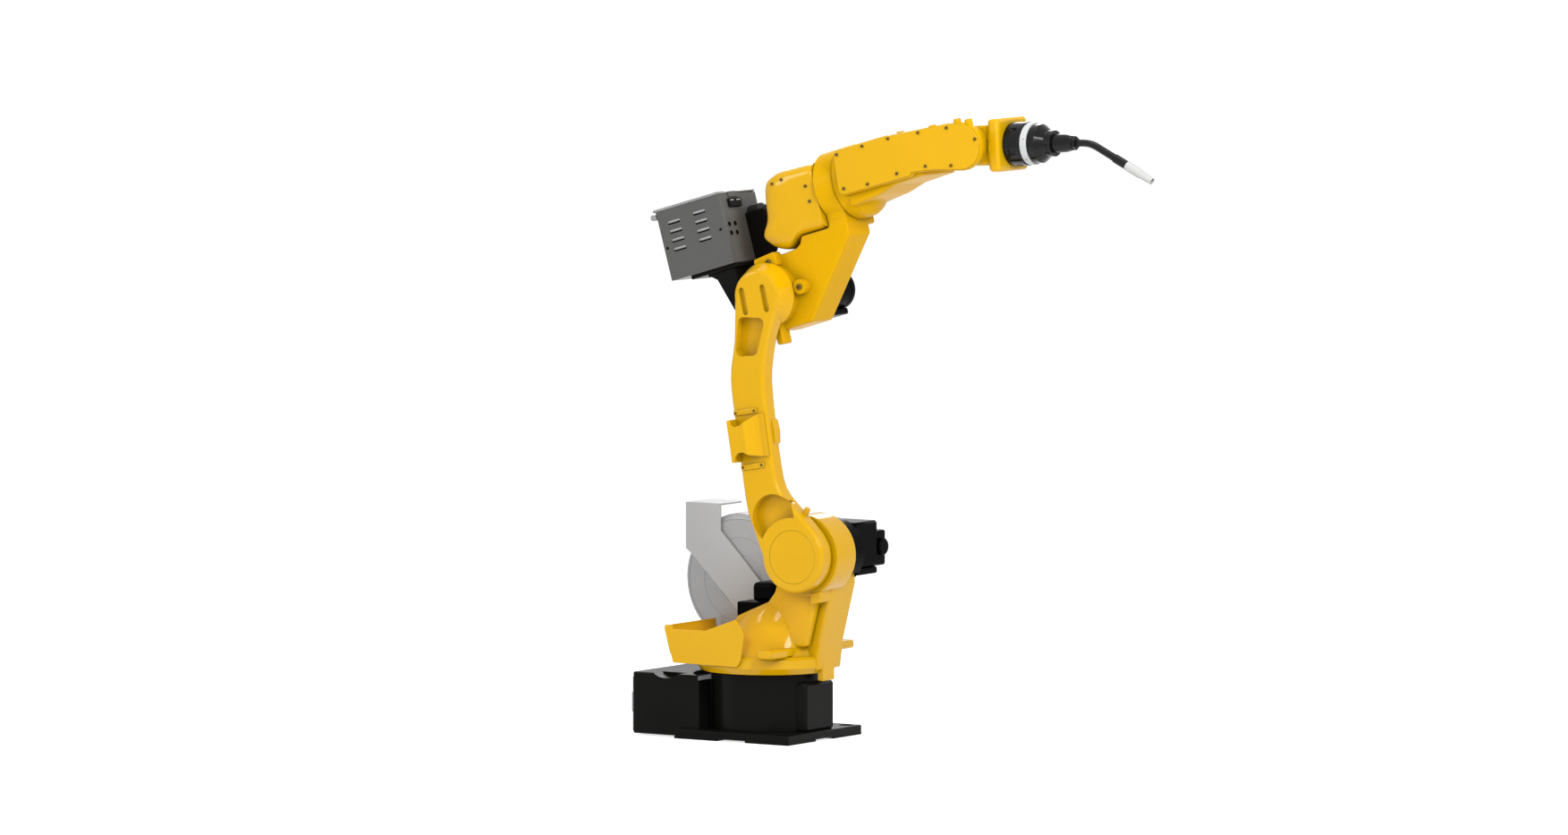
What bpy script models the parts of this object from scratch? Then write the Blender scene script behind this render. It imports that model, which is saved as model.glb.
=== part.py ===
# Six-axis arc welding robot with a wire feeder on its elbow and a wire spool on its waist.
# Metres, +Z up, arm reaching along +X. The origin is on the first axis, at the floor.

import math

import bmesh
import bpy
from mathutils import Matrix, Vector

MM = 0.001

# Clearances
GAP = 0.3 * MM
PLAY = 0.6 * MM

# Lengths between the joint axes
SHOULDER_REACH = 150 * MM
SHOULDER_HEIGHT = 430 * MM
LOWER_ARM_LENGTH = 600 * MM
ELBOW_OFFSET = 200 * MM
FOREARM_LENGTH = 606 * MM

# Angles at rest, each measured from the horizontal or the vertical
LOWER_ARM_LEAN = math.radians(9.4)
FOREARM_PITCH = math.radians(15.9)
TORCH_PITCH = math.radians(2.5)

# Base
FOOT_SIDE = 312 * MM
FOOT_TOP = 22 * MM
FOOT_RELIEF = 4 * MM
FOOT_PAD = 118 * MM
SEAT_RADIUS = 60 * MM
ANCHOR_SPACING = 260 * MM
ANCHOR_RADIUS = 8 * MM
ANCHOR_SINK_RADIUS = 17 * MM
ANCHOR_SINK_DEPTH = 5 * MM
DRUM_RADIUS = 130 * MM
DRUM_TOP = 154 * MM
BOSS_REACH = 143 * MM
BOSS_HALF_WIDTH = 60 * MM
BOSS_TOP = 134 * MM
REAR_BOX_BACK = 280 * MM
REAR_BOX_FRONT = 99 * MM
REAR_BOX_HALF_WIDTH = 140 * MM
REAR_BOX_TOP = 146 * MM
REAR_BOX_WALL = 14 * MM
REAR_BOX_DEPTH = 90 * MM
REAR_NECK_HALF_WIDTH = 88 * MM
SCOOP_RADIUS = 60 * MM
SCOOP_DEPTH = 11 * MM
PANEL_THICKNESS = 4 * MM
REDUCER_RADIUS = 96 * MM
REDUCER_DEPTH = 42 * MM

# Waist
RING_BOTTOM = 156 * MM
RING_TOP = 196 * MM
RING_RADIUS = 166 * MM
RING_FOOT_RADIUS = 154 * MM
STOP_RADIUS = 150 * MM
STOP_DEPTH = 17 * MM
STOP_HALF_WIDTH = 24 * MM
STOP_BOTTOM = 138 * MM
TAB_BACK = 83 * MM
TAB_FRONT = 124 * MM
TAB_REACH = 175 * MM
TAB_THICKNESS = 20 * MM
HOUSING_RADIUS = 94.5 * MM
HOUSING_NEAR = -83 * MM
HOUSING_FAR = -5 * MM
COLUMN_NEAR = -45 * MM
COLUMN_FAR = 55 * MM
SHOULDER_RISE = 0.42

# Lower arm
ARM_NEAR = -129.4 * MM
ARM_BACK = -87 * MM
ARM_LOW_RADIUS = 83 * MM
ARM_HIGH_RADIUS = 61 * MM
ARM_HIGH_FLARE = 15 * MM
ARM_RIM = 8 * MM
POCKET_DEPTH = 24 * MM
COVER_DISC_RADIUS = 61.5 * MM
COVER_DISC_THICKNESS = 3 * MM
JOINT_SEAL_RADIUS = 76 * MM
HOOD_DEPTH = 35 * MM
HOOD_WALL = 6 * MM

# Motors
J1_MOTOR_HALF = 47 * MM
J1_MOTOR_SEAT = SHOULDER_HEIGHT - 168 * MM
J2_MOTOR_HALF = 53 * MM
J2_MOTOR_END = 151 * MM
J3_MOTOR_RADIUS = 46 * MM
J3_MOTOR_X = 62 * MM
J3_MOTOR_Z = -13 * MM
J3_MOTOR_END = 125 * MM

# Spool
SPOOL_RADIUS = 153 * MM
SPOOL_WALL = 2.5 * MM
SPOOL_NEAR = 50 * MM
SPOOL_WIDTH = 130 * MM
SPOOL_X = -110 * MM
SPOOL_Z = 352 * MM
SPINDLE_RADIUS = 25 * MM
REEL_RADIUS = SPOOL_RADIUS - 15 * MM
REEL_WIDTH = 103 * MM
REEL_HUB_RADIUS = 45 * MM
REEL_WALL = 4 * MM
WINDING_RADIUS = REEL_RADIUS - 16 * MM
BRACKET_SHEET = 4 * MM
BRACKET_FOOT = RING_TOP + 29 * MM
BRACKET_TOP = SPOOL_RADIUS + 20.5 * MM

# Elbow
ELBOW_RADIUS = 86 * MM
ELBOW_NECK_RADIUS = 72 * MM
ELBOW_NEAR = -83 * MM
ELBOW_FAR = 30 * MM
J4_HOUSING_RADIUS = 84 * MM
J4_FACE = 241.7 * MM
COVER_HALF_WIDTH = 76 * MM

# Wire feeder, in the elbow's frame
FEEDER_BACK = -260 * MM
FEEDER_FRONT = -82 * MM
FEEDER_BOTTOM = 96 * MM
FEEDER_TOP = 262 * MM
FEEDER_NEAR = -60 * MM
FEEDER_FAR = 95 * MM
FEEDER_SHEET = 2 * MM
ROLL_RADIUS = 18 * MM
ROLL_WIDTH = 12 * MM
ROLL_X = -170 * MM
WIRE_Y = 62 * MM
LID_AXIS_X = FEEDER_BACK - 8.5 * MM
LID_AXIS_Z = FEEDER_TOP - 15 * MM

# Forearm, in the frame of its own axis
FOREARM_BACK = 242 * MM
FOREARM_RING_RADIUS = 85 * MM
FOREARM_NEAR = -95 * MM
FOREARM_SIDE_INNER = -78 * MM
FOREARM_END_RADIUS = 54 * MM
FOREARM_BODY_END = FOREARM_LENGTH - 122 * MM
PLATE_THICKNESS = 3 * MM

# Wrist and torch, in the wrist's frame
WRIST_FACE = 83 * MM
WRIST_HALF_WIDTH = 62 * MM
WRIST_HALF_HEIGHT = 61 * MM
TOOL_FLANGE_LENGTH = 44 * MM
TOOL_FLANGE_RADIUS = 49.5 * MM
NECK_RADIUS = 8.5 * MM
NECK_BEND = math.radians(29)
NECK_BEND_RADIUS = 80 * MM

SEGMENTS = 40

YELLOW = ("yellow_paint", (0.78, 0.42, 0.012), 0.32, 0.0)
BLACK = ("black_paint", (0.012, 0.012, 0.012), 0.45, 0.0)
MOTOR_BLACK = ("motor_black", (0.006, 0.006, 0.007), 0.4, 0.0)
STEEL = ("machined_steel", (0.55, 0.55, 0.56), 0.35, 1.0)
BRASS = ("brass", (0.62, 0.42, 0.16), 0.35, 1.0)
COPPER = ("copper_wire", (0.72, 0.36, 0.2), 0.3, 1.0)
SHEET_GREY = ("sheet_grey", (0.14, 0.14, 0.135), 0.45, 0.0)
PLATE_GREY = ("light_grey_sheet", (0.5, 0.5, 0.5), 0.5, 0.0)
CLEAR_GREY = ("smoked_plastic", (0.45, 0.45, 0.45), 0.3, 0.0)
WHITE = ("white_ring", (0.85, 0.85, 0.85), 0.35, 0.0)
RUBBER = ("rubber", (0.015, 0.015, 0.015), 0.8, 0.0)


# Scene helpers

def clear_scene():
    """Removes every object, so that the script starts from nothing."""
    for obj in list(bpy.data.objects):
        bpy.data.objects.remove(obj, do_unlink=True)


def collection(name):
    """The collection of that name, linked to the scene."""
    found = bpy.data.collections.get(name)
    if found is None:
        found = bpy.data.collections.new(name)
        bpy.context.scene.collection.children.link(found)
    return found


def material(spec):
    """A Principled material from its name, colour, roughness and metallic value."""
    name, colour, roughness, metallic = spec
    found = bpy.data.materials.get(name)
    if found is None:
        found = bpy.data.materials.new(name)
        found.use_nodes = True
        shader = found.node_tree.nodes["Principled BSDF"]
        shader.inputs["Base Color"].default_value = (*colour, 1.0)
        shader.inputs["Roughness"].default_value = roughness
        shader.inputs["Metallic"].default_value = metallic
    return found


def empty(name, parent, at, pitch=0.0):
    """An empty on a joint's axis: at is in the parent's frame, and pitch turns +X upwards."""
    obj = bpy.data.objects.new(name, None)
    obj.empty_display_size = 0.05
    collection("welding_robot").objects.link(obj)
    obj.parent = parent
    obj.location = at
    obj.rotation_euler = (0.0, -pitch, 0.0)
    return obj


def from_bmesh(name, bm, parent):
    """A new object of the part from a finished bmesh."""
    mesh = bpy.data.meshes.new(name)
    bm.to_mesh(mesh)
    bm.free()
    obj = bpy.data.objects.new(name, mesh)
    collection("welding_robot").objects.link(obj)
    obj.parent = parent
    return obj


def bevel(obj, width, segments=2):
    """Rounds the object's sharp edges."""
    if width > 0:
        mod = obj.modifiers.new("round", "BEVEL")
        mod.width = width
        mod.segments = segments
        mod.limit_method = "ANGLE"
        mod.angle_limit = math.radians(40)
    return obj


def boolean(base, tool, operation):
    """Joins a shape to the base or cuts it away, and puts it with the cutters."""
    mod = base.modifiers.new(operation.lower(), "BOOLEAN")
    mod.operation = operation
    mod.object = tool
    mod.solver = "EXACT"
    tool.hide_render = True
    tool.display_type = "WIRE"
    for owner in list(tool.users_collection):
        owner.objects.unlink(tool)
    collection("cutters").objects.link(tool)


def unite(base, *others):
    """One body from several that overlap."""
    for other in others:
        boolean(base, other, "UNION")
    return base


def cut(base, *cutters):
    """Takes the cutters out of the base."""
    for cutter in cutters:
        boolean(base, cutter, "DIFFERENCE")
    return base


def finish(obj, spec):
    """Gives the object its material and smooth shading on its round faces."""
    obj.data.materials.clear()
    obj.data.materials.append(material(spec))
    if obj.type == "MESH":
        obj.data.shade_smooth()
        obj.data.set_sharp_from_angle(angle=math.radians(35))
    return obj


# Shapes

def block(name, parent, low, high, rim=0.0, segments=1):
    """A box between two corners, with its edges rounded."""
    low, high = Vector(low), Vector(high)
    bm = bmesh.new()
    bmesh.ops.create_cube(bm, size=1.0)
    size = high - low
    bmesh.ops.scale(bm, vec=size, verts=bm.verts)
    bmesh.ops.translate(bm, vec=(low + high) / 2, verts=bm.verts)
    return bevel(from_bmesh(name, bm, parent), rim, segments)


def bar(name, parent, start, end, radius, end_radius=None, rim=0.0, sides=SEGMENTS, segments=1):
    """A round bar or cone between two points."""
    start, end = Vector(start), Vector(end)
    along = end - start
    bm = bmesh.new()
    bmesh.ops.create_cone(
        bm,
        cap_ends=True,
        segments=sides,
        radius1=radius,
        radius2=radius if end_radius is None else end_radius,
        depth=along.length,
    )
    turn = Vector((0, 0, 1)).rotation_difference(along)
    bmesh.ops.rotate(bm, cent=(0, 0, 0), matrix=turn.to_matrix(), verts=bm.verts)
    bmesh.ops.translate(bm, vec=(start + end) / 2, verts=bm.verts)
    return bevel(from_bmesh(name, bm, parent), rim, segments)


def turned(name, parent, profile, at, axis, sides=SEGMENTS):
    """A profile of (radius, height) points, outer side first from its top down, turned about the axis."""
    bm = bmesh.new()
    rows = [bm.verts.new((radius, 0.0, height)) for radius, height in profile]
    closed = min(radius for radius, height in profile) > 0
    for first, second in zip(rows, rows[1:]):
        bm.edges.new((first, second))
    if closed:
        bm.edges.new((rows[-1], rows[0]))
    obj = from_bmesh(name, bm, parent)
    obj.location = at
    obj.rotation_mode = "QUATERNION"
    obj.rotation_quaternion = Vector((0, 0, 1)).rotation_difference(Vector(axis))
    mod = obj.modifiers.new("turn", "SCREW")
    mod.steps = sides
    mod.render_steps = sides
    mod.use_merge_vertices = True
    mod.merge_threshold = 0.00001
    mod.use_smooth_shade = True
    return obj


def slab(name, parent, outline, low, high, rim=0.0, along="Y", segments=2):
    """A flat outline made solid between two planes. The outline is (x, z) across Y, or (x, y) across Z."""
    curve = bpy.data.curves.new(name, "CURVE")
    curve.dimensions = "2D"
    curve.fill_mode = "BOTH"
    curve.extrude = (high - low) / 2
    spline = curve.splines.new("POLY")
    spline.points.add(len(outline) - 1)
    for point, (x, second) in zip(spline.points, outline):
        point.co = (x, second, 0.0, 1.0)
    spline.use_cyclic_u = True
    shape = bpy.data.objects.new(name + "_outline", curve)
    collection("welding_robot").objects.link(shape)
    bpy.context.view_layer.update()
    graph = bpy.context.evaluated_depsgraph_get()
    mesh = bpy.data.meshes.new_from_object(shape.evaluated_get(graph))
    bm = bmesh.new()
    bm.from_mesh(mesh)
    bmesh.ops.remove_doubles(bm, verts=bm.verts, dist=0.00001)
    bmesh.ops.dissolve_limit(bm, angle_limit=0.001, verts=bm.verts, edges=bm.edges)
    bmesh.ops.translate(bm, vec=(0, 0, (low + high) / 2), verts=bm.verts)
    if along == "Y":
        swap = Matrix(((1, 0, 0), (0, 0, 1), (0, 1, 0)))
        bmesh.ops.transform(bm, matrix=swap.to_4x4(), verts=bm.verts)
        bmesh.ops.reverse_faces(bm, faces=bm.faces)
    bmesh.ops.recalc_face_normals(bm, faces=bm.faces)
    bpy.data.objects.remove(shape)
    bpy.data.meshes.remove(mesh)
    return bevel(from_bmesh(name, bm, parent), rim, segments)


def loft(name, parent, sections):
    """A closed skin through sections that have the same number of points, capped at both ends."""
    bm = bmesh.new()
    rings = [[bm.verts.new(point) for point in section] for section in sections]
    count = len(rings[0])
    for lower, upper in zip(rings, rings[1:]):
        for i in range(count):
            j = (i + 1) % count
            bm.faces.new((lower[i], lower[j], upper[j], upper[i]))
    sides = list(bm.faces)
    bm.faces.new(list(reversed(rings[0])))
    bm.faces.new(rings[-1])
    bmesh.ops.triangulate(bm, faces=sides)
    bmesh.ops.recalc_face_normals(bm, faces=bm.faces)
    return from_bmesh(name, bm, parent)


def pipe(name, parent, points, radius, resolution=3):
    """A round rod or tube of one thickness along a path."""
    curve = bpy.data.curves.new(name, "CURVE")
    curve.dimensions = "3D"
    curve.bevel_depth = radius
    curve.bevel_resolution = resolution
    curve.use_fill_caps = True
    spline = curve.splines.new("POLY")
    spline.points.add(len(points) - 1)
    for point, place in zip(spline.points, points):
        point.co = (*place, 1.0)
    obj = bpy.data.objects.new(name, curve)
    collection("welding_robot").objects.link(obj)
    obj.parent = parent
    return obj


# Outlines

def arc(centre, radius, start, end, steps=12):
    """Points on an arc, its angles in degrees from +X."""
    points = []
    for i in range(steps + 1):
        angle = math.radians(start + (end - start) * i / steps)
        points.append((centre[0] + radius * math.cos(angle), centre[1] + radius * math.sin(angle)))
    return points


def rounded(corners, radius, steps=4):
    """A closed outline through the corners, each rounded by an arc of the radius."""
    points = []
    count = len(corners)
    for i, corner in enumerate(corners):
        here = Vector(corner)
        back = (Vector(corners[i - 1]) - here).normalized()
        ahead = (Vector(corners[(i + 1) % count]) - here).normalized()
        half = back.angle(ahead) / 2
        set_back = radius / math.tan(half)
        centre = here + (back + ahead).normalized() * (radius / math.sin(half))
        first = here + back * set_back - centre
        last = here + ahead * set_back - centre
        for k in range(steps + 1):
            spot = centre + first.lerp(last, k / steps).normalized() * radius
            points.append((spot.x, spot.y))
    return points


def smooth(points, steps=3):
    """A flowing line through the points, without its last point."""
    line = []
    ends = [points[0]] + list(points) + [points[-1]]
    for a, b, c, d in zip(ends, ends[1:], ends[2:], ends[3:]):
        for k in range(steps):
            t = k / steps
            line.append(tuple(
                0.5 * (
                    2 * b[n]
                    + (c[n] - a[n]) * t
                    + (2 * a[n] - 5 * b[n] + 4 * c[n] - d[n]) * t * t
                    + (3 * b[n] - a[n] - 3 * c[n] + d[n]) * t ** 3
                )
                for n in range(len(b))
            ))
    return line


def slot_outline(start, end, half_width, steps=6):
    """A slot with round ends between two centres."""
    direction = math.degrees(math.atan2(end[1] - start[1], end[0] - start[0]))
    return (
        arc(end, half_width, direction - 90, direction + 90, steps)
        + arc(start, half_width, direction + 90, direction + 270, steps)
    )


def squircle(centre, half_x, half_y, power, height, rise, count=32):
    """A ring between a circle and a square, at a height that rises along X."""
    ring = []
    for i in range(count):
        angle = 2 * math.pi * i / count
        c, s = math.cos(angle), math.sin(angle)
        x = centre[0] + half_x * math.copysign(abs(c) ** (2 / power), c)
        y = centre[1] + half_y * math.copysign(abs(s) ** (2 / power), s)
        ring.append((x, y, height + rise * (x - centre[0])))
    return ring


# Base

def make_base(root):
    half = FOOT_SIDE / 2
    casting = block(
        "base_casting", root, (-half, -half, FOOT_RELIEF), (half, half, FOOT_TOP), rim=2 * MM
    )
    overlap = 1 * MM
    pads = []
    for sx in (-1, 1):
        for sy in (-1, 1):
            inner = half - FOOT_PAD
            low = (min(sx * inner, sx * (half - GAP)), min(sy * inner, sy * (half - GAP)), 0)
            high = (
                max(sx * inner, sx * (half - GAP)),
                max(sy * inner, sy * (half - GAP)),
                FOOT_RELIEF + overlap,
            )
            pads.append(block("pad", root, low, high))
    seat = bar("seat", root, (0, 0, 0), (0, 0, FOOT_RELIEF + overlap), SEAT_RADIUS)
    drum = bar("drum", root, (0, 0, FOOT_TOP - overlap), (0, 0, DRUM_TOP), DRUM_RADIUS, rim=2 * MM)
    boss = block(
        "boss",
        root,
        (0, -BOSS_HALF_WIDTH, FOOT_TOP - overlap),
        (BOSS_REACH, BOSS_HALF_WIDTH, BOSS_TOP),
        rim=6 * MM,
    )
    rear = block(
        "rear",
        root,
        (-REAR_BOX_BACK, -REAR_BOX_HALF_WIDTH, FOOT_RELIEF),
        (-REAR_BOX_FRONT, REAR_BOX_HALF_WIDTH, REAR_BOX_TOP),
        rim=3 * MM,
    )
    neck = block(
        "neck",
        root,
        (-REAR_BOX_FRONT - overlap, -REAR_NECK_HALF_WIDTH, FOOT_RELIEF + overlap),
        (-REAR_BOX_FRONT / 2, REAR_NECK_HALF_WIDTH, REAR_BOX_TOP - 6 * MM),
    )
    unite(casting, *pads, seat, drum, boss, neck, rear)
    spread = ANCHOR_SPACING / 2
    holes = []
    for sx in (-1, 1):
        for sy in (-1, 1):
            if sx > 0:
                holes.append(bar(
                    "anchor", root, (sx * spread, sy * spread, -MM), (sx * spread, sy * spread, FOOT_TOP + MM),
                    ANCHOR_RADIUS, sides=16,
                ))
                holes.append(bar(
                    "anchor_sink",
                    root,
                    (sx * spread, sy * spread, FOOT_TOP - ANCHOR_SINK_DEPTH),
                    (sx * spread, sy * spread, FOOT_TOP + MM),
                    ANCHOR_SINK_RADIUS,
                    sides=20,
                ))
    scoop_x = -(REAR_BOX_BACK + REAR_BOX_FRONT) / 2
    scoop = bar(
        "scoop",
        root,
        (scoop_x, -REAR_BOX_HALF_WIDTH - MM, REAR_BOX_TOP + SCOOP_RADIUS - SCOOP_DEPTH),
        (scoop_x, -REAR_BOX_HALF_WIDTH + 40 * MM, REAR_BOX_TOP + SCOOP_RADIUS - SCOOP_DEPTH),
        SCOOP_RADIUS,
    )
    cavity = block(
        "cavity",
        root,
        (-REAR_BOX_BACK - MM, -REAR_BOX_HALF_WIDTH + REAR_BOX_WALL, REAR_BOX_WALL),
        (
            -REAR_BOX_BACK + REAR_BOX_DEPTH,
            REAR_BOX_HALF_WIDTH - REAR_BOX_WALL,
            STOP_BOTTOM - REAR_BOX_WALL,
        ),
        rim=6 * MM,
    )
    groove = turned(
        "stop_groove",
        root,
        [
            (STOP_RADIUS + STOP_DEPTH + 5 * MM, DRUM_TOP + MM),
            (STOP_RADIUS + STOP_DEPTH + 5 * MM, STOP_BOTTOM - 3 * MM),
            (DRUM_RADIUS + MM, STOP_BOTTOM - 3 * MM),
            (DRUM_RADIUS + MM, DRUM_TOP + MM),
        ],
        (0, 0, 0),
        (0, 0, 1),
    )
    bore = bar(
        "reducer_bore", root, (0, 0, DRUM_TOP - REDUCER_DEPTH), (0, 0, DRUM_TOP + MM), REDUCER_RADIUS + GAP
    )
    cut(casting, *holes, scoop, cavity, groove, bore)
    finish(casting, BLACK)

    reducer = turned(
        "j1_reducer",
        root,
        [
            (0.0, RING_BOTTOM - GAP),
            (REDUCER_RADIUS - 16 * MM, RING_BOTTOM - GAP),
            (REDUCER_RADIUS - 16 * MM, DRUM_TOP - MM),
            (REDUCER_RADIUS, DRUM_TOP - MM),
            (REDUCER_RADIUS, DRUM_TOP - REDUCER_DEPTH + GAP),
            (0.0, DRUM_TOP - REDUCER_DEPTH + GAP),
        ],
        (0, 0, 0),
        (0, 0, 1),
    )
    finish(reducer, STEEL)
    make_rear_panel(root)


def make_rear_panel(root):
    back = -REAR_BOX_BACK - GAP
    panel = block(
        "rear_panel",
        root,
        (back - PANEL_THICKNESS, -REAR_BOX_HALF_WIDTH + 6 * MM, REAR_BOX_WALL - 6 * MM),
        (back, REAR_BOX_HALF_WIDTH - 6 * MM, STOP_BOTTOM - 4 * MM),
        rim=1 * MM,
    )
    finish(panel, BLACK)
    face = back - PANEL_THICKNESS - GAP
    height = 72 * MM
    for name, y, half_y, half_z in (
        ("power_connector", -62 * MM, 45 * MM, 24 * MM),
        ("signal_connector", 32 * MM, 32 * MM, 24 * MM),
    ):
        shell = block(
            name, root, (face - 22 * MM, y - half_y, height - half_z), (face, y + half_y, height + half_z),
            rim=3 * MM,
        )
        mouth = block(
            "mouth",
            root,
            (face - 23 * MM, y - half_y + 5 * MM, height - half_z + 5 * MM),
            (face - 8 * MM, y + half_y - 5 * MM, height + half_z - 5 * MM),
            rim=2 * MM,
        )
        cut(shell, mouth)
        finish(shell, PLATE_GREY)
    fitting = turned(
        "gas_fitting",
        root,
        [(0.0, 26 * MM), (6 * MM, 26 * MM), (6 * MM, 9 * MM), (10 * MM, 9 * MM), (10 * MM, 0.0), (0.0, 0.0)],
        (face, 98 * MM, height),
        (-1, 0, 0),
        sides=24,
    )
    finish(fitting, BRASS)


# Waist

def make_waist(waist):
    overlap = 1 * MM
    casting = turned(
        "waist_casting",
        waist,
        [
            (0.0, RING_TOP),
            (RING_RADIUS - 6 * MM, RING_TOP),
            (RING_RADIUS, RING_TOP - 6 * MM),
            (RING_RADIUS, RING_BOTTOM + 14 * MM),
            (RING_FOOT_RADIUS, RING_BOTTOM),
            (0.0, RING_BOTTOM),
        ],
        (0, 0, 0),
        (0, 0, 1),
        sides=48,
    )
    top = SHOULDER_HEIGHT - 120 * MM
    stations = [
        (0.0, 152 * MM, 152 * MM, 2.0, RING_TOP - overlap, 0.0),
        (4 * MM, 140 * MM, 134 * MM, 2.0, RING_TOP + 16 * MM, 0.04),
        (10 * MM, 122 * MM, 112 * MM, 2.0, RING_TOP + 42 * MM, 0.14),
        (18 * MM, 104 * MM, 92 * MM, 2.05, top - 42 * MM, 0.29),
        (24 * MM, 91 * MM, 80 * MM, 2.15, top - 12 * MM, SHOULDER_RISE),
        (28 * MM, 77 * MM, 68 * MM, 2.25, top, SHOULDER_RISE),
    ]
    shoulder = loft(
        "shoulder",
        waist,
        [
            squircle((x, 0), half_x, half_y, power, height, rise, count=36)
            for x, half_x, half_y, power, height, rise in smooth(stations, 2) + [stations[-1]]
        ],
    )
    housing = bar(
        "housing",
        waist,
        (SHOULDER_REACH, HOUSING_NEAR, SHOULDER_HEIGHT),
        (SHOULDER_REACH, HOUSING_FAR, SHOULDER_HEIGHT),
        HOUSING_RADIUS,
        rim=3 * MM,
        sides=48,
        segments=2,
    )
    x, z = SHOULDER_REACH, SHOULDER_HEIGHT
    column_front = [
        (RING_RADIUS - 2 * MM, RING_BOTTOM + 8 * MM),
        (RING_RADIUS + 6 * MM, RING_TOP + 33 * MM),
        (x + 55 * MM, z - 68 * MM),
        (x + 50 * MM, z - 30 * MM),
        (x, z + 10 * MM),
        (x - 58 * MM, z - 30 * MM),
        (x - 80 * MM, z - 100 * MM),
        (x - 110 * MM, RING_TOP + 54 * MM),
        (x - 90 * MM, RING_BOTTOM + 8 * MM),
    ]
    column = slab("column", waist, column_front, COLUMN_NEAR, COLUMN_FAR, rim=5 * MM)
    web_outline = [
        (x - 200 * MM, z - 190 * MM),
        (x - 191 * MM, z - 149 * MM),
        (x - 150 * MM, z - 131 * MM),
        (x - 105 * MM, z - 113 * MM),
        (x - 86 * MM, z - 88 * MM),
        (x - 72 * MM, z - 45 * MM),
        (x - 40 * MM, z + 10 * MM),
        (x + 20 * MM, z + 10 * MM),
        (x + 36 * MM, z - 70 * MM),
        (x, RING_TOP + 24 * MM),
        (x - 110 * MM, RING_TOP + 14 * MM),
    ]
    web = slab("web", waist, web_outline, -72 * MM, -49 * MM, rim=6 * MM)
    stop = block(
        "stop",
        waist,
        (STOP_RADIUS, -STOP_HALF_WIDTH, STOP_BOTTOM),
        (STOP_RADIUS + STOP_DEPTH, STOP_HALF_WIDTH, RING_TOP - 4 * MM),
        rim=2 * MM,
    )
    tab_top = RING_TOP + 20 * MM
    tab = block(
        "tab",
        waist,
        (TAB_BACK, -TAB_REACH, tab_top - TAB_THICKNESS),
        (TAB_FRONT, TAB_REACH, tab_top),
        rim=4 * MM,
    )
    lug_outline = [
        (x + 18 * MM, z - 85 * MM),
        (x + 50 * MM, z - 78 * MM),
        (x + 46 * MM, z - 105 * MM),
        (x + 22 * MM, z - 112 * MM),
    ]
    lug = slab("lug", waist, lug_outline, HOUSING_NEAR - 2 * MM, COLUMN_NEAR + 5 * MM, rim=3 * MM)
    unite(casting, shoulder, column, web, housing, stop, tab, lug)

    seat = block(
        "motor_seat",
        waist,
        (-J1_MOTOR_HALF - 10 * MM, -J1_MOTOR_HALF - 2 * MM, J1_MOTOR_SEAT),
        (J1_MOTOR_HALF + 4 * MM, J1_MOTOR_HALF + 20 * MM, J1_MOTOR_SEAT + 240 * MM),
    )
    foot_slot = block(
        "foot_slot",
        waist,
        (SPOOL_X - 30 * MM, SPOOL_NEAR - 13.6 * MM, BRACKET_FOOT),
        (SPOOL_X + 104 * MM, SPOOL_NEAR + 9 * MM, SPOOL_Z + 67 * MM),
    )
    recess = bar(
        "j2_recess",
        waist,
        (SHOULDER_REACH, HOUSING_NEAR - MM, SHOULDER_HEIGHT),
        (SHOULDER_REACH, HOUSING_NEAR + 30 * MM, SHOULDER_HEIGHT),
        JOINT_SEAL_RADIUS + PLAY,
    )
    spool_room = bar(
        "spool_room",
        waist,
        (SPOOL_X, SPOOL_NEAR - 3 * MM, SPOOL_Z),
        (SPOOL_X, SPOOL_NEAR + SPOOL_WIDTH + 3 * MM, SPOOL_Z),
        SPOOL_RADIUS + 3 * MM,
        sides=46,
    )
    cut(casting, seat, foot_slot, recess, spool_room)
    finish(casting, YELLOW)


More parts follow.
